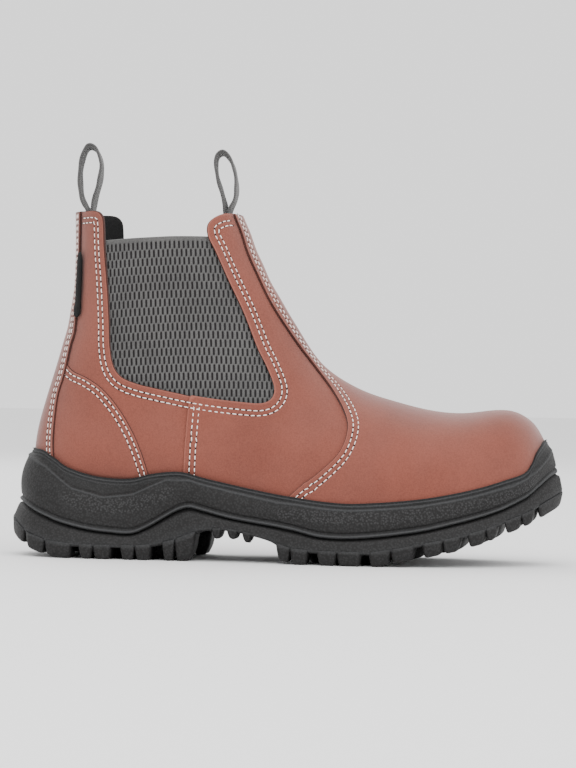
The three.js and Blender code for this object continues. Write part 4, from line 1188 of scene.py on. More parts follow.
@dataclass
class Upper:
    """The leather panels, cut and stitched as in the photograph, alike on both sides."""

    finishes: Finishes
    seams: Seams
    step: tuple[float, float] = (0.1, 0.036)
    leather: float = 1.9
    overlay: float = 1.2
    quarter_top: float = -1.5
    lap: float = 5.0
    gore_rows: tuple[float, float] = (3.6, 6.2)
    vamp_rows: tuple[float, float] = (3.0, 5.6)
    side_rows: tuple[float, float] = (2.6, 5.4)
    strip_rows: tuple[float, float] = (2.2, 4.6)
    counter_rows: tuple[float, float] = (2.0, 4.6)

    def _sheet(
        self,
        outline: Array,
        top: float,
        thickness: float,
        edges: Sequence[tuple[Array, tuple[float, float]]],
        relief: Callable[[Array], Array] = crease_relief,
    ) -> Shape:
        """A panel with its distances to the stitched edges kept for the leather's finish."""
        lattice = fill_outline(outline, self.step)
        place = LAST.point(lattice.params[:, 0], lattice.params[:, 1])
        distance = np.full(len(place), 50.0)
        first, second = np.full(len(place), 3.0), np.full(len(place), 6.0)
        for trace, rows in edges:
            gaps = nearest_distance(place, LAST.point(trace[:, 0], trace[:, 1]))
            nearer = gaps < distance
            distance = np.where(nearer, gaps, distance)
            first, second = np.where(nearer, rows[0], first), np.where(nearer, rows[1], second)
        values = {"edge": distance, "first_row": first, "second_row": second}
        return sheet_shape(lattice, top + relief(lattice.params), thickness, values=values)

    def _make(self, name: str, shapes: Sequence[Shape], replaces: Sequence[str] = ()) -> None:
        """Makes panels as one piece of leather with dark cut edges, partly painted shade, and a black lining."""
        finishes = [self.finishes.leather, self.finishes.cut_edge, self.finishes.lining]
        make_piece(name, join_shapes(shapes), finishes, replaces)

    def _curve(self, points: Array, side: Side, wrap: bool = False) -> Array:
        """Smooth side-view curve as a trace on one side."""
        return even_trace(LAST.trace(smooth_curve(points, TRACE_STEP), side, wrap))

    def _rim(self, x_from: float, x_to: float, side: Side, wrap: bool = False) -> Array:
        """Hidden lower edge of a panel, tucked into the sole's cup."""
        x = np.linspace(x_from, x_to, max(3, int(abs(x_to - x_from) / 2)))
        return LAST.trace(np.column_stack([x, rim_height(x) - TUCK]), side, wrap)

    def _vamp_seam(self, side: Side) -> Array:
        """The vamp's edge from the collar down to the cup: straight at the top, then the seam."""
        lower = self._curve(VAMP_SEAM, side)
        sign = side.value
        angle = np.linspace(VAMP_TOP_ANGLE, abs(lower[0, 1]), 20) * sign
        s = np.linspace(level_trace(np.array([VAMP_TOP_ANGLE * sign]), COLLAR_HEIGHT)[0, 0], lower[0, 0], 20)
        keep = LAST.point(lower[:, 0], lower[:, 1])[:, 2] > rim_height(150.0) - TUCK
        return even_trace(np.vstack([np.column_stack([s, angle])[:-1], lower[keep]]))

    def build(self) -> None:
        """Makes every panel and its seams."""
        quarters, counters = [], []
        for side in Side:
            quarters += [self._rear_quarter(side), self._front_quarter(side)]
            counters.append(self._counter(side))
        self._make("quarters", quarters, ["upper"])
        self._make("counters", counters)
        self._make("vamp_panel", [self._vamp()], ["vamp"])
        self._make("heel_strip", [self._strip()], ["back_strip"])

    def _split_opening(self, side: Side) -> tuple[Array, Array]:
        """The gore's edge behind and ahead of the side seam."""
        curve = smooth_curve(GORE_OPENING, TRACE_STEP)
        lowest = np.abs(curve[:, 0] - SIDE_SEAM[0, 0]) + 10 * (curve[:, 1] > 100)
        cut = int(lowest.argmin())
        trace = LAST.trace(curve, side)
        return trace[:cut + 1], trace[cut:]

    def _outward(self, side: Side) -> float:
        """Sign that turns a distance to the right of a lateral run into the medial one."""
        return 1.0 if side is Side.LATERAL else -1.0

    def _rear_quarter(self, side: Side) -> Shape:
        """Rear quarter: from the heel strip to under the front quarter."""
        rear, _ = self._split_opening(side)
        strip = self._curve(STRIP_EDGE, side)
        under_strip = move_trace(strip, self.lap * self._outward(side), trim=False)
        start = LAST.trace(np.array([[35.0, COLLAR_HEIGHT]]), side)
        seam = self._curve(SIDE_SEAM, side)
        hidden = move_trace(seam, -self.lap * self._outward(side), trim=False)
        hidden = hidden[1:]
        outline = link_traces(
            np.vstack([start, rear[rear[:, 0] > 0]]), hidden, self._rim(100.0, 27.0, side),
            under_strip[::-1],
        )

        def relief(params: Array) -> Array:
            """Creases, and the step down under the front quarter."""
            x = LAST.point(params[:, 0], params[:, 1])[:, 0]
            seam_x = np.mean(SIDE_SEAM[:, 0])
            return crease_relief(params) - 0.9 * smooth_step(seam_x - 4, seam_x - 0.5, x)

        return self._sheet(outline, self.quarter_top, self.leather, [(rear, self.gore_rows)], relief)

    def _front_quarter(self, side: Side) -> Shape:
        """Front quarter: from the side seam, round the gore and up the front tab, to under the vamp."""
        turn = self._outward(side)
        rear, ahead = self._split_opening(side)
        seam = self._curve(SIDE_SEAM, side)
        vamp = self._vamp_seam(side)
        hidden = move_trace(vamp, -self.lap * turn, trim=False)
        rim = self._rim(float(VAMP_SEAM[-1, 0]) + self.lap, float(SIDE_SEAM[-1, 0]), side)
        outline = link_traces(seam[::-1], ahead, hidden, rim)
        for row in self.gore_rows:
            whole = even_trace(np.vstack([rear, ahead[1:]]))
            moved = even_trace(move_trace(whole, row * turn), 0.6)
            self.seams.add_row(moved, self.quarter_top)
        for row in self.side_rows:
            moved = even_trace(move_trace(seam, -row * turn), 0.6)
            self.seams.add_row(moved[4:], self.quarter_top)
        return self._sheet(
            outline, self.quarter_top, self.leather,
            [(even_trace(ahead, 0.6), self.gore_rows), (even_trace(seam, 0.6), self.side_rows)],
        )

    def _counter(self, side: Side) -> Shape:
        """Counter: low piece over the heel of the rear quarter, with its own double seam."""
        turn = self._outward(side)
        edge = self._curve(COUNTER_SEAM, side)
        edge = move_trace(edge, -self.counter_rows[0] * turn, trim=False)
        strip = self._curve(STRIP_EDGE, side)
        under = move_trace(strip, self.lap * turn, trim=False)
        low = under[under[:, 0] < edge[0, 0]]
        outline = link_traces(edge, self._rim(72.0, 28.0, side), low[::-1])
        for row in self.counter_rows:
            moved = even_trace(move_trace(edge, row * turn), 0.6)
            s, phi = moved[:, 0], moved[:, 1]
            self.seams.add_row(moved[nearest_distance(
                LAST.point(s, phi), LAST.point(strip[:, 0], strip[:, 1])) > 1.2], -0.95)
        return self._sheet(outline, -0.95, 0.75, [(even_trace(edge, 0.6), self.counter_rows)])

    def _vamp(self) -> Shape:
        """Vamp: over the toe and up the front, laid over both front quarters."""
        edges, sides = [], []
        for side in (Side.LATERAL, Side.MEDIAL):
            seam = self._vamp_seam(side)
            turn = self._outward(side)
            edges.append((even_trace(seam, 0.6), self.vamp_rows))
            x = float(LAST.point(seam[-1:, 0], seam[-1:, 1])[0, 0])
            sides.append(np.vstack([seam, self._rim(x + 1, 276.0, side)]))
            for row in self.vamp_rows:
                self.seams.add_row(even_trace(move_trace(seam, -row * turn), 0.6), 0.0)
        top = level_trace(np.linspace(VAMP_TOP_ANGLE, -VAMP_TOP_ANGLE, 17)[1:-1], COLLAR_HEIGHT)
        outline = link_traces(sides[0], np.array([[1.0, 0.0]]), sides[1][::-1], top)
        return self._sheet(outline, 0.0, self.overlay, edges)

    def _strip(self) -> Shape:
        """Strip over the heel seam, from the cup to the collar."""
        lateral = self._curve(STRIP_EDGE, Side.LATERAL, wrap=True)
        medial = self._curve(STRIP_EDGE, Side.MEDIAL, wrap=True)
        for trace, turn in ((lateral, 1.0), (medial, -1.0)):
            for row in self.strip_rows:
                self.seams.add_row(even_trace(move_trace(trace, row * turn), 0.6), 0.0)
        top = level_trace(np.linspace(medial[0, 1], lateral[0, 1], 24)[1:-1], COLLAR_HEIGHT)
        outline = link_traces(medial[::-1], top, lateral)
        return self._sheet(
            outline, 0.0, self.overlay,
            [(even_trace(lateral, 0.6), self.strip_rows), (even_trace(medial, 0.6), self.strip_rows)],
        )


def grid_faces(rows: int, columns: int, closed: bool = False) -> Array:
    """Quads of a grid of points, row after row; a closed grid joins its last column to its first."""
    last = columns if closed else columns - 1
    i, j = np.meshgrid(np.arange(rows - 1), np.arange(last), indexing="ij")
    following = (j + 1) % columns
    quads = [i * columns + j, i * columns + following, (i + 1) * columns + following, (i + 1) * columns + j]
    return np.stack(quads, axis=-1).reshape(-1, 4)


def outward_faces(points: Array, faces: Array, directions: Array) -> Array:
    """Faces turned, all together, to look along the directions given at their first points."""
    corner = points[faces[:, :3]]
    facing = np.cross(corner[:, 1] - corner[:, 0], corner[:, 2] - corner[:, 0])
    return faces if (facing * directions[faces[:, 0]]).sum() > 0 else faces[:, ::-1]


@dataclass
class Gore:
    """Elastic gore: rows of upright cord pairs with dark slots between, staggered from row to row."""

    finishes: Finishes
    pitch: float = 2.45
    row_height: float = 4.2
    cells: int = 8
    offset: float = -3.8
    thickness: float = 1.5
    rear: float = 43.0
    front: float = 146.0
    foot: float = 74.0
    lean: float = 0.05
    welt_rows: int = 4
    cord: float = 0.42
    slot_depth: float = 0.35

    def build(self, side: Side) -> None:
        """Makes one gore.

        Points lie on a grid whose columns are an eighth of the slots' pitch apart. Over one pitch
        the lift is cord * sin(pi * share)^0.6 less a groove in the middle, and the slot lies below.
        """
        columns = np.arange(0, int((self.front - self.rear) / self.pitch * self.cells))
        step = self.row_height / self.cells
        top_z = np.interp(self.rear + columns * self.pitch / self.cells, GORE_TOP[:, 0], GORE_TOP[:, 1])
        rows = np.arange(0, int((top_z.max() - self.foot) / step))
        r, c = np.meshgrid(rows, columns, indexing="ij")
        z = top_z[None, :] - r * step
        x = self.rear + c * self.pitch / self.cells + self.lean * r * step
        brick = (r - self.welt_rows) // self.cells
        k = (c + (self.cells // 2) * (brick % 2)) % self.cells
        level = (r - self.welt_rows) % self.cells
        slot = np.select([k == 0, k == 1, k == 7, k == 2], [1.0, 1.0, 0.9, 0.35], 0.0)
        slot = slot * np.select([level == 0, level == 7], [0.35, 0.8], 1.0)
        share = np.clip((k - 1.0) / 7.0, 0, 1)
        cords = self.cord * np.sin(np.pi * share) ** 0.6 - 0.14 * np.exp(-(((k - 4.5) / 0.8) ** 2))
        lift = cords - slot * self.slot_depth - 0.08 * (level == 0)
        welt = r < self.welt_rows
        slot = np.where(welt, 0.0, slot)
        lift = np.where(welt, 0.35, lift)
        s, angle = LAST.locate(x, z)
        phi = angle * side.value
        border = (c == 0) | (c == columns[-1])
        lift = np.where(border, -self.thickness, lift)
        front_points = LAST.skin(s, phi, self.offset + lift)
        back_rows = np.linspace(0, rows[-1], 14).astype(int)[::-1]
        back = LAST.skin(s[back_rows], phi[back_rows], self.offset - self.thickness)
        fold = LAST.skin(s[:1], phi[:1], self.offset - 0.5 * self.thickness) + np.array([0, 0, 0.35])
        points = np.concatenate([front_points, back, fold], axis=0)
        count = len(columns)
        flat = points.reshape(-1, 3)
        quads = grid_faces(len(points), count)
        close = np.column_stack([np.arange(count - 1), np.arange(1, count)])
        last_row = (len(points) - 1) * count
        ring = np.column_stack([last_row + close[:, 0], last_row + close[:, 1], close[:, 1], close[:, 0]])
        normals = np.broadcast_to(LAST.normal(s[:1], phi[:1]).mean((0, 1)), flat.shape)
        front_faces = grid_faces(len(rows), count)
        turned = outward_faces(flat, front_faces, normals)
        faces = np.vstack([quads, ring])
        if not np.array_equal(turned, front_faces):
            faces = faces[:, ::-1]
        values = {"slot": np.concatenate([slot.ravel(), np.zeros(len(flat) - slot.size)])}
        name = f"gore_cloth_{side.name.lower()}"
        make_piece(
            name, Shape(flat, [faces], None, values), [self.finishes.elastic],
            [f"gore_{side.name.lower()}"],
        )


@dataclass
class PullLoop:
    """Webbing loop on one smooth side-view route, sewn in behind the collar's edge."""

    name: str
    node: str
    route: Array
    tilt: float
    finishes: Finishes
    width: float = 13.8
    thickness: float = 1.7
    around: int = 22

    def build(self) -> None:
        """Makes the strap: a flat rounded section carried along the route.

        The section is a superellipse with exponent 5 across and 2.4 through. Its tilt about the
        boot's length grows with the height over the collar, and its width swells a little.
        """
        path = smooth_curve(self.route, 0.6)
        run = unit(np.gradient(path, axis=0))
        side = np.column_stack([-run[:, 1], run[:, 0]])
        rise = smooth_step(COLLAR_HEIGHT, COLLAR_HEIGHT + 34, path[:, 1])
        turn = np.linspace(0, 2 * np.pi, self.around + 1)[:-1]
        flat = np.sign(np.cos(turn)) * np.abs(np.cos(turn)) ** 0.4
        deep = np.sign(np.sin(turn)) * np.abs(np.sin(turn)) ** 0.8
        length = np.arange(len(path)) * 0.6
        half = self.width / 2 * (0.94 + 0.06 * rise + 0.008 * np.sin(length * 0.9))
        across = flat[None, :] * half[:, None]
        through = deep[None, :] * self.thickness / 2
        wave = 0.12 * np.sin(length * 0.55)[:, None] * np.sign(across)
        x = path[:, 0, None] + side[:, 0, None] * (through + wave)
        z = path[:, 1, None] + side[:, 1, None] * (through + wave)
        z = z - across * np.tan(self.tilt) * rise[:, None]
        x = x - across * 0.5 * np.tan(self.tilt) * rise[:, None]
        points = np.stack([x, across, z], axis=-1)
        flat_points = points.reshape(-1, 3)
        faces = grid_faces(len(path), self.around, closed=True)
        centre = np.repeat(points.mean(1), self.around, axis=0)
        faces = outward_faces(flat_points, faces, flat_points - centre)
        ends = np.array([np.arange(self.around), (len(path) - 1) * self.around + np.arange(self.around)])
        ends[0] = ends[0][::-1]
        u = np.broadcast_to(length[:, None], x.shape).ravel()
        v = (across / self.width + 0.5).ravel()
        shape = Shape(flat_points, [faces, ends], None, {}, np.column_stack([u, v]))
        make_piece(self.name, shape, [self.finishes.webbing], [self.node])


@dataclass
class Tag:
    """Blank folded tag, sewn in at the heel strip's outer edge."""

    finishes: Finishes
    top: float = 157.6
    length: float = 34.0
    width: float = 4.6

    def build(self) -> None:
        """Makes the tag: a folded ribbon on the last, its section a flat loop.

        Round the section the width follows cos and the lift sin, both flattened; towards both ends
        the fold closes, and it stands off a little in the middle.
        """
        z = np.linspace(self.top, self.top - self.length, 60)
        strip = smooth_curve(STRIP_EDGE, 0.5)
        x = np.interp(-z, -strip[:, 1], strip[:, 0]) + 1.2
        s, angle = LAST.locate(x, z)
        trace = np.column_stack([s, -angle])
        share = np.linspace(0, 1, len(z))
        turn = np.linspace(0, 2 * np.pi, 17)[:-1]
        flat = np.sign(np.cos(turn)) * np.abs(np.cos(turn)) ** 0.5
        deep = np.sign(np.sin(turn)) * np.abs(np.sin(turn)) ** 0.9
        fat = 0.55 + 0.5 * np.sin(np.pi * share) ** 0.7 + 0.35 * smooth_step(0.78, 0.86, share)
        half = self.width / 2 * (1 + 0.18 * smooth_step(0.76, 0.84, share))
        centre = LAST.skin(trace[:, 0], trace[:, 1], 0.35)
        normal = LAST.normal(trace[:, 0], trace[:, 1])
        run = unit(np.gradient(centre, axis=0))
        across = unit(np.cross(normal, run))
        closing = np.sqrt(np.clip(1 - (2 * share - 1) ** 16, 0.02, 1))
        points = (
            centre[:, None]
            + across[:, None] * (flat[None] * (half * closing)[:, None])[..., None]
            + normal[:, None] * (deep[None] * (fat * closing)[:, None])[..., None]
        )
        flat_points = points.reshape(-1, 3)
        faces = grid_faces(len(z), len(turn), closed=True)
        middle = np.repeat(points.mean(1), len(turn), axis=0)
        faces = outward_faces(flat_points, faces, flat_points - middle)
        ends = np.array([np.arange(len(turn))[::-1], (len(z) - 1) * len(turn) + np.arange(len(turn))])
        make_piece("side_tag", Shape(flat_points, [faces, ends]), [self.finishes.tag], ["back_tag"])


@dataclass
class Footbed:
    """Insole with a fabric face, dished a little under the heel and the arch."""

    finishes: Finishes
    margin: float = 11.0
    height: float = 6.5
    thickness: float = 3.0

    def build(self) -> None:
        """Makes the insole: x runs from heel to toe, the share v from side to side.

        The top lies at the footbed plus its height plus 2.2 * v^4, and rounds off at the edges.
        """
        x = np.linspace(16.0, SOLE_LENGTH - 15, 110)
        v = np.linspace(-1, 1, 41)
        ends = np.sqrt(np.clip(1 - (2 * (x - x[0]) / (x[-1] - x[0]) - 1) ** 10, 0.0, 1))
        widths = [np.interp(x, STATION_X, STATION[side] / 100 * BALL_WIDTH) for side in ("lateral", "medial")]
        reach = [np.maximum(width - self.margin, 2) * np.maximum(ends, 0.05) for width in widths]
        base = np.interp(x, STATION_X, STATION["footbed"] / 100 * RIM_HEIGHT)
        y = np.where(v[None] < 0, v[None] * reach[0][:, None], v[None] * reach[1][:, None])
        top = base[:, None] + self.height + 2.2 * v[None] ** 4 - 0.8 * (np.abs(v[None]) > 0.97)
        upper = np.stack([np.broadcast_to(x[:, None], y.shape), y, top], axis=-1)
        lower = upper[:, ::-1] - np.array([0, 0, self.thickness])
        points = np.concatenate([upper, lower], axis=1)
        flat = points.reshape(-1, 3)
        faces = grid_faces(len(x), points.shape[1], closed=True)
        middle = np.repeat(points.mean(1), points.shape[1], axis=0)
        faces = outward_faces(flat, faces, flat - middle)
        count = points.shape[1]
        caps = np.array([np.arange(count)[::-1], (len(x) - 1) * count + np.arange(count)])
        make_piece("footbed", Shape(flat, [faces, caps]), [self.finishes.insole], ["insole"])


SIDE_LUGS = (
    (4.2, 8, 12.9), (14.7, 17.1, 20.2), (22.3, 24.7, 27.4), (29.9, 31.9, 35.4), (38.9, 0, 40.1),
    (41.6, 0, 43), (44.4, 0, 45.5), (50.6, 52.9, 55.9), (58, 61.3, 65.4), (67.2, 70.8, 74.7),
    (76.5, 79.8, 82.6), (84.3, 87.2, 88.9), (90.6, 93.2, 95.1),
)
MIDDLE_LUGS = (
    (4, 10.5), (13.5, 21.5), (24.5, 32.5), (55.5, 61.5), (64, 69), (71.5, 76), (78.5, 83), (85.5, 89.5),
)
END_LUGS = ((0.3, 3.8), (96, 99.6))
RIDGE_LINE = np.array([
    [0, 53], [18.3, 47], [35.7, 36.1], [52.8, 31.9], [68.3, 33.7], [77.5, 38], [86.1, 41.6], [100, 41.5],
    [118, 36.5], [144, 31.4], [170, 29.3], [196, 29.2], [217, 31], [242, 36], [262, 42], [274, 49], [286, 60],
])
PEBBLE_TOP = np.array([[31, 34.5], [41, 32.9], [56, 31], [69, 32.4], [81, 36], [90, 38.2]])
PEBBLE_FOOT = np.array([[31, 29], [40, 24.8], [50, 23.2], [63, 22.9], [75, 25.6], [90, 33]])
FOREFOOT_TOP = np.array([[144, 28.6], [170, 27.6], [196, 27.6], [217, 29.6], [242, 34.4], [262, 40.4], [276, 48]])
FOREFOOT_FOOT = np.array([[144, 23.3], [170, 20.6], [196, 20.4], [217, 22.4], [242, 28], [262, 34], [276, 41]])


class SolePlan:
    """Dense plan outline of the sole with its heights, round from the heel's middle by the lateral side."""

    def __init__(self, step: float = 0.9) -> None:
        """Runs a closed Catmull-Rom curve through the stations of both sides."""
        lateral = np.column_stack([STATION_X, -STATION["lateral"] / 100 * BALL_WIDTH])
        medial = np.column_stack([STATION_X, STATION["medial"] / 100 * BALL_WIDTH])
        count = len(STATION_X)
        order = np.concatenate([np.arange(count), np.arange(count)[::-1]])
        heights = np.column_stack([
            STATION[name] / 100 * RIM_HEIGHT for name in ("tread", "plate", "parting", "footbed", "rim")
        ])
        widths = np.column_stack([STATION[name] / 100 * BALL_WIDTH for name in ("flare", "bulge")])
        table = np.hstack([np.vstack([lateral, medial[::-1]]), heights[order], widths[order]])
        spans = np.linalg.norm(np.roll(table, -1, axis=0)[:, :2] - table[:, :2], axis=1)
        mirror = (2 * count - 2 - np.arange(2 * count)) % (2 * count)
        steps = 2 * np.ceil(np.maximum(spans, spans[mirror]) / step / 2).astype(int)
        span = np.repeat(np.arange(2 * count), steps)
        share = np.concatenate([np.arange(n) / n for n in steps])
        shift = steps[-1] // 2
        span, share = np.roll(span, shift), np.roll(share, shift)[:, None]
        p0, p1, p2, p3 = (table[(span + k) % (2 * count)] for k in (-1, 0, 1, 2))
        rows = p1 + 0.5 * share * (
            p2 - p0 + share * (2 * p0 - 5 * p1 + 4 * p2 - p3 + share * (3 * (p1 - p2) + p3 - p0))
        )
        self.plan = rows[:, :2]
        self.tread, self.plate, self.parting, self.footbed, self.rim = rows[:, 2:7].T
        self.flare, self.bulge = rows[:, 7:].T
        run = unit(np.roll(self.plan, -1, axis=0) - np.roll(self.plan, 1, axis=0))
        self.out = np.column_stack([run[:, 1], -run[:, 0]])
        self.walls = np.array([
            self._inward(self.parting + share * (self.rim - self.parting)) for share in np.linspace(0, 1, 8)
        ])
        self.rim_inward = self.walls[-1] - 1.6
        self.floor_inward = self._inward(self.footbed + 3.0) + 1.5

    def _inward(self, height: Array) -> Array:
        """Distance from the outline inward to the last at a height, by halving."""
        outside, inside = np.zeros(len(height)), np.full(len(height), 30.0)
        for _ in range(18):
            middle = (outside + inside) / 2
            place = self.plan - self.out * middle[:, None]
            s, angle = LAST.locate(place[:, 0], height)
            low, high = LAST.point(s, -angle), LAST.point(s, angle)
            off = np.hypot(high[:, 0] - place[:, 0], high[:, 2] - height)
            within = (place[:, 1] > low[:, 1]) & (place[:, 1] < high[:, 1]) & (off < 0.7)
            inside = np.where(within, middle, inside)
            outside = np.where(within, outside, middle)
        kernel = np.array([1, 2, 3, 2, 1]) / 9
        wrapped = np.concatenate([outside[-2:], outside, outside[:2]])
        return np.convolve(wrapped, kernel, mode="valid")

    def wall_inward(self, share: float) -> Array:
        """Distance from the outline inward to the last at a share of the cup's height."""
        place = np.clip(share, 0, 1) * (len(self.walls) - 1)
        below = min(int(place), len(self.walls) - 2)
        return self.walls[below] + (place - below) * (self.walls[below + 1] - self.walls[below])

    def ring(self, outward: Array | float, height: Array) -> Array:
        """Ring of the outline, moved outward and set on heights."""
        moved = self.plan + self.out * np.broadcast_to(outward, len(self.plan))[:, None]
        return np.column_stack([moved, np.broadcast_to(height, len(self.plan))])

    def caps(self, first: int, upward: bool) -> list[Array]:
        """Faces across a ring whose first point is given: strips from side to side."""
        count = len(self.plan)
        half = count // 2
        i = np.arange(1, half - 1)
        strips = np.column_stack([i, i + 1, count - i - 1, count - i])
        tips = np.array([[0, 1, count - 1], [half - 1, half, half + 1]])
        blocks = [strips + first, tips + first]
        return blocks if upward else [block[:, ::-1] for block in blocks]


def stack_rings(plan: SolePlan, rings: Sequence[Array], values: dict[str, Array]) -> Shape:
    """Closed shape of rings from the bottom to the top, with faces across both ends."""
    count = len(plan.plan)
    points = np.concatenate(rings)
    sides = grid_faces(len(rings), count, closed=True)
    top = plan.caps((len(rings) - 1) * count, True)
    faces = [sides, *plan.caps(0, False), *top]
    return Shape(points, faces, None, values)


@dataclass
class Sole:
    """Moulded rubber: the cup with its rim and ridges, and the lugged plate under it."""

    finishes: Finishes
    rows: int = 72

    def build(self) -> None:
        """Makes the midsole and the outsole."""
        self.plan = SolePlan()
        self._midsole()
        self._outsole()

    def _midsole(self) -> None:
        """Makes the cup.

        From the parting line to the rim a point lies on the straight line between both, plus
        bulge * sin(pi * share), plus a lip at the foot, less 1.1 mm over the ridge line.
        """
        plan = self.plan
        x = plan.plan[:, 0]
        foot = plan.parting + 0.3
        start, end = -1.8 - plan.flare, -plan.rim_inward
        ridge = np.minimum(np.interp(x, RIDGE_LINE[:, 0], RIDGE_LINE[:, 1]), plan.rim - 2.5)
        top, low = np.full(len(x), -50.0), np.full(len(x), -50.0)
        for upper, lower in ((PEBBLE_TOP, PEBBLE_FOOT), (FOREFOOT_TOP, FOREFOOT_FOOT)):
            within = (x > upper[0, 0]) & (x < upper[-1, 0])
            top = np.where(within, np.interp(x, upper[:, 0], upper[:, 1]), top)
            low = np.where(within, np.interp(x, lower[:, 0], lower[:, 1]), low)
        rings, grain, light, dark = [], [], [], []
        calm = 1 - 0.8 * smooth_step(255.0, 272.0, x)
        for share in np.linspace(0, 1, self.rows):
            z = foot + share * (plan.rim - foot)
            lip = np.exp(-(((z - foot - 1.0) / 0.8) ** 2))
            groove = np.exp(-(((z - foot - 2.6) / 0.6) ** 2))
            recess = smooth_step(ridge - 0.1, ridge + 1.6, z)
            crest = np.exp(-(((z - ridge + 0.5) / 0.5) ** 2))
            rim = np.exp(-(((z - plan.rim + 0.8) / 0.55) ** 2))
            line = np.exp(-(((z - plan.rim + 2.4) / 0.45) ** 2))
            relief = 1.2 * lip * calm - 0.5 * groove - 1.3 * recess + 0.35 * crest + 0.8 * rim + 0.35 * line
            relief = relief + plan.bulge * np.sin(np.pi * share)
            cover = 1.3 - plan.wall_inward(share) + 0.4 * relief
            outward = start + share * (end - start) + relief
            rings.append(plan.ring(np.where(share > 0.35, np.maximum(outward, cover), outward), z))
            inside = smooth_step(low, low + 0.6, z) * (1 - smooth_step(top - 0.6, top, z))
            grain.append(0.5 + 0.5 * inside)
            # Painted highlight on the lip, the ridge's crest, the rim and the line below it.
            light.append(np.clip(0.55 * lip + 0.4 * crest + 0.45 * rim + 0.2 * line, 0, 1))
            # Painted shade in the groove, in the recessed band and under the rim.
            under = np.exp(-(((z - plan.rim + 1.6) / 0.4) ** 2)) * 0.6
            dark.append(np.clip(0.7 * groove + 0.25 * recess * (1 - rim) * (1 - line) + under, 0, 1))
        tops = ((0.5, 0.5), (1.1, 0.6), (1.8, 0.3), (2.2, -0.8), (2.4, -5.0))
        for inward, lift in tops:
            rings.append(plan.ring(end - inward + 0.4, plan.rim + lift))
        rings.append(plan.ring(-plan.floor_inward, plan.footbed + 2.0))
        extra = np.zeros(len(x))
        # The rim's top rings and the inside of the cup get painted highlight 0.15 and painted shade 0.3.
        for record, last in ((grain, 0.0), (light, 0.15), (dark, 0.3)):
            record += [extra + last] * (len(tops) + 1)
        values = {
            "grain": np.concatenate(grain), "light": np.concatenate(light), "dark": np.concatenate(dark),
        }
        shape = stack_rings(plan, rings, values)
        make_piece("sole_cup", shape, [self.finishes.rubber], ["midsole"])

    def _outsole(self) -> None:
        """Makes the plate under the parting line and joins the lugs to it."""
        plan = self.plan
        depth = plan.parting - plan.plate
        # Each row: outward shift, share of the height, painted shade and painted highlight.
        rows = (
            (-1.9, 0.0, 0.4, 0.0), (-1.2, 0.03, 0.3, 0.0), (-0.4, 0.12, 0.0, 0.3), (-0.1, 0.25, 0.0, 0.1),
            (-0.3, 0.5, 0.0, 0.0), (-0.5, 0.75, 0.0, 0.0), (-0.9, 0.86, 0.1, 0.0), (-2.4, 0.93, 0.9, 0.0),
            (-2.9, 1.0, 1.0, 0.0),
        )
        rings, dark, light = [], [], []
        for outward, share, shade, shine in rows:
            rings.append(plan.ring(outward - plan.flare * share, plan.plate + depth * share + 0.0))
            dark.append(np.full(len(depth), shade))
            light.append(np.full(len(depth), shine))
        rings.append(plan.ring(-4.0 - plan.flare, plan.parting + 0.6))
        dark.append(np.zeros(len(depth)))
        light.append(np.zeros(len(depth)))
        values = {
            "grain": np.full(len(depth) * len(rings), 0.5), "light": np.concatenate(light),
            "dark": np.concatenate(dark),
        }
        shapes = [stack_rings(plan, rings, values)]
        lateral, medial = ("lateral", -1.0), ("medial", 1.0)
        for start, notch, end in SIDE_LUGS:
            spans = ((start, notch - 0.21), (notch + 0.21, end)) if notch else ((start, end),)
            for span in spans:
                for name, sign in (lateral, medial):
                    shapes.append(self._lug(span, name, sign, 0.8, name, sign, 17.0))
        for span in MIDDLE_LUGS:
            shapes.append(self._lug(span, "lateral", -1.0, 19.7, "medial", 1.0, 19.7))
        for span in END_LUGS:
            shapes.append(self._lug(span, "lateral", -1.0, 0.8, "medial", 1.0, 0.8))
        shape = join_shapes(shapes)
        make_piece("lugged_plate", shape, [self.finishes.rubber], ["outsole"])

    def _lug(
        self, span: tuple[float, float], outer: str, outer_sign: float, outer_inset: float,
        inner: str, inner_sign: float, inner_inset: float,
    ) -> Shape:
        """One lug with rounded corners, wider at its root in the plate.

        Args:
            span: Start and end as shares of the sole's length.
            outer: Edge of the sole that it starts from.
            outer_sign: Sign of y there.
            outer_inset: Distance from that edge.
            inner: Edge that its other side is measured from.
            inner_sign: Sign of y there.
            inner_inset: Distance from that edge.

        Returns:
            The lug. Round the footprint u and v run over a square whose corners are cut off.
        """
        turn = np.linspace(0, 2 * np.pi, 57)[:-1]
        cosine, sine = np.cos(turn), np.sin(turn)
        u0 = np.sign(cosine) * np.abs(cosine) ** 0.34
        v0 = np.sign(sine) * np.abs(sine) ** 0.34
        x0, x1 = (share / 100 * SOLE_LENGTH for share in span)
        edges = {name: STATION[name] / 100 * BALL_WIDTH for name in (outer, inner)}
        levels = (
            (1.1, 0.0), (0.85, 0.25), (0.5, 0.5), (0.1, 0.72), (-0.35, 0.88), (-0.9, 0.96), (-1.7, 1.0),
            (-2.8, 1.0),
        )
        rings = []
        for grow, share in levels:
            x = (x0 + x1) / 2 + u0 * ((x1 - x0) / 2 + grow)
            width_outer = np.interp(x, STATION_X, edges[outer]) - outer_inset
            width_inner = np.interp(x, STATION_X, edges[inner]) - inner_inset
            a, b = outer_sign * width_outer, inner_sign * width_inner
            half = np.maximum(np.abs(b - a) / 2 + grow, 0.4)
            y = (a + b) / 2 + v0 * half
            root = np.interp(x, STATION_X, STATION["plate"] / 100 * RIM_HEIGHT) + 1.5
            tread = np.maximum(np.interp(x, STATION_X, STATION["tread"] / 100 * RIM_HEIGHT), 0)
            rings.append(np.column_stack([x, y, root + share * (tread - root)]))
        points = np.concatenate(rings)
        count = len(turn)
        faces = grid_faces(len(rings), count, closed=True)
        middle = np.repeat(np.array([ring.mean(0) for ring in rings]), count, axis=0)
        faces = outward_faces(points, faces, points - middle)
        ends = np.array([np.arange(count), np.arange(count)[::-1] + (len(rings) - 1) * count])
        shades = np.array([share for _, share in levels])
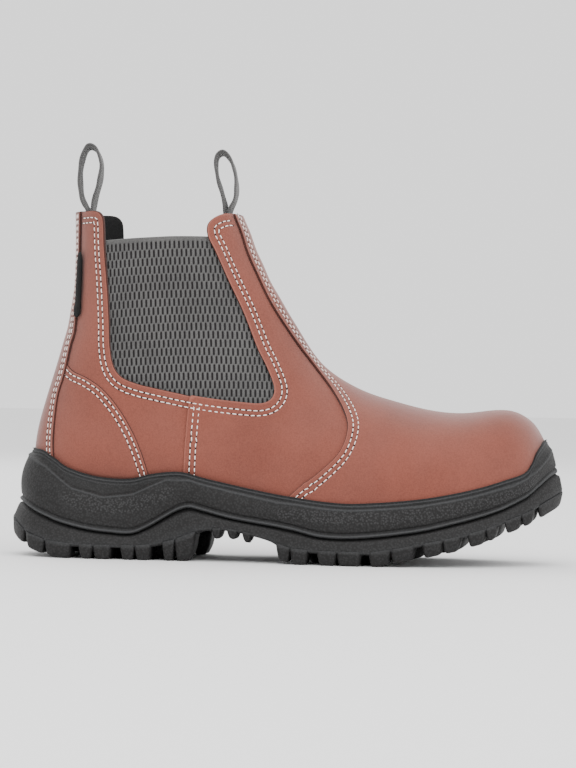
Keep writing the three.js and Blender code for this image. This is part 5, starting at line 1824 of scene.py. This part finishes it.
        values = {
            "grain": np.full(len(points), 0.5),
            # Painted highlight near the lug's root, painted shade on its tread face.
            "light": np.repeat(0.35 * np.exp(-(((shades - 0.05) / 0.1) ** 2)), count),
            "dark": np.repeat(0.25 * (shades > 0.99), count),
        }
        return Shape(points, [faces, ends], None, values)


LOOPS = (
    (
        "rear_pull_loop", "back_pull_loop",
        np.array([
            [5.7, -14], [5.7, -2], [5.1, 1.8], [3.4, 4.6], [1.6, 9], [0.6, 17], [1.2, 27], [4.4, 34.6],
            [9, 33.4], [11.8, 25.6], [10.8, 16], [8.5, 7], [7.6, -2], [7.6, -14],
        ]) + side_view([[10.9, 200]])[0],
        float(np.radians(8.0)),
    ),
    (
        "front_loop", "front_pull_loop",
        np.array([
            [-0.4, -16], [-3.9, -7], [-6.6, 0], [-6, 3.6], [-4.2, 7.4], [-3.4, 12], [-3.8, 19.4], [-6.2, 27.6],
            [-10.2, 32.2], [-13.6, 30.6], [-14.4, 25.6], [-13.2, 18.6], [-10.8, 11], [-9.2, 5], [-8.7, 0],
            [-6, -7], [-2.5, -16],
        ]) + side_view([[41.2, 200]])[0],
        float(np.radians(8.0)),
    ),
)


class Studio:
    """Pale floor, soft lights and the photo's camera."""

    distance: float = 1600.0
    yaw: float = float(np.radians(7.0))
    roll: float = 0.0170818
    lens: float = 144.45
    target: tuple[float, float, float] = (143.10, 0.0, 91.05)

    def build(self) -> None:
        """Sets the floor, the world, the lights and the camera."""
        self._floor()
        self._world()
        centre = Vector(to_frame(np.array([SOLE_LENGTH / 2, 0.0, 80.0])))
        self._light("key", (0.1, -1.3, 1.5), 1.6, 26.0, centre)
        self._light("fill", (1.4, -0.8, 0.8), 1.4, 9.0, centre)
        self._light("back", (-0.6, 1.3, 1.2), 1.4, 12.0, centre)
        self._camera()

    def _floor(self) -> None:
        """A wide pale plane at z 0."""
        mesh = bpy.data.meshes.new("studio_floor")
        reach = 8.0
        corners = [(-reach, -reach, 0), (reach, -reach, 0), (reach, reach, 0), (-reach, reach, 0)]
        mesh.from_pydata(corners, [], [(0, 1, 2, 3)])
        material = bpy.data.materials.new("studio_floor")
        material.use_nodes = True
        shader = material.node_tree.nodes["Principled BSDF"]
        shader.inputs["Base Color"].default_value = (0.86, 0.86, 0.86, 1)
        shader.inputs["Roughness"].default_value = 0.9
        mesh.materials.append(material)
        floor = bpy.data.objects.new("studio_floor", mesh)
        bpy.context.scene.collection.objects.link(floor)
        floor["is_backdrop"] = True

    def _world(self) -> None:
        """An even pale surround."""
        world = bpy.data.worlds.new("studio_world")
        world.use_nodes = True
        background = world.node_tree.nodes["Background"]
        background.inputs["Color"].default_value = (1.0, 1.0, 1.0, 1)
        background.inputs["Strength"].default_value = 1.5
        bpy.context.scene.world = world

    def _light(
        self, name: str, place: tuple[float, float, float], size: float, power: float, aim: Vector
    ) -> None:
        """A soft square light looking at a point."""
        lamp = bpy.data.lights.new(name, "AREA")
        lamp.shape = "SQUARE"
        lamp.size = size
        lamp.energy = power
        light = bpy.data.objects.new(name, lamp)
        light.location = place
        light.rotation_euler = (aim - Vector(place)).to_track_quat("-Z", "Y").to_euler()
        bpy.context.scene.collection.objects.link(light)

    def _camera(self) -> None:
        """The photo's camera: level, turned towards the toe and rolled a little."""
        forward = Vector((-np.sin(self.yaw), np.cos(self.yaw), 0.0))
        right = Vector((np.cos(self.yaw), np.sin(self.yaw), 0.0))
        up = Vector((0.0, 0.0, 1.0))
        rolled_right = right * np.cos(self.roll) + up * np.sin(self.roll)
        rolled_up = up * np.cos(self.roll) - right * np.sin(self.roll)
        place = Vector(to_frame(np.array(self.target))) - forward * self.distance * MM
        turn = Matrix((rolled_right, rolled_up, -forward)).transposed().to_4x4()
        lens = bpy.data.cameras.new("photo_camera")
        lens.lens = self.lens
        lens.sensor_width = 36.0
        lens.sensor_fit = "AUTO"
        lens.clip_start = 0.05
        lens.clip_end = 50.0
        camera = bpy.data.objects.new("photo_camera", lens)
        camera.matrix_world = Matrix.Translation(place) @ turn
        bpy.context.scene.collection.objects.link(camera)
        bpy.context.scene.camera = camera


def corners(bounds: tuple[Vector, Vector]) -> list[list[float]]:
    """Low and high corner as plain lists."""
    return [[float(value) for value in corner] for corner in bounds]


def main() -> None:
    logging.basicConfig(level=logging.INFO, format="%(name)s: %(message)s")
    before = corners(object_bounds())
    finishes = Finishes()
    seams = Seams()
    Upper(finishes, seams).build()
    for side in Side:
        Gore(finishes).build(side)
    for loop in LOOPS:
        PullLoop(*loop, finishes).build()
    Tag(finishes).build()
    Footbed(finishes).build()
    Sole(finishes).build()
    seams.build(finishes)
    Studio().build()
    {"before": before, "after": corners(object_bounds())}


if __name__ == "__main__":
    main()
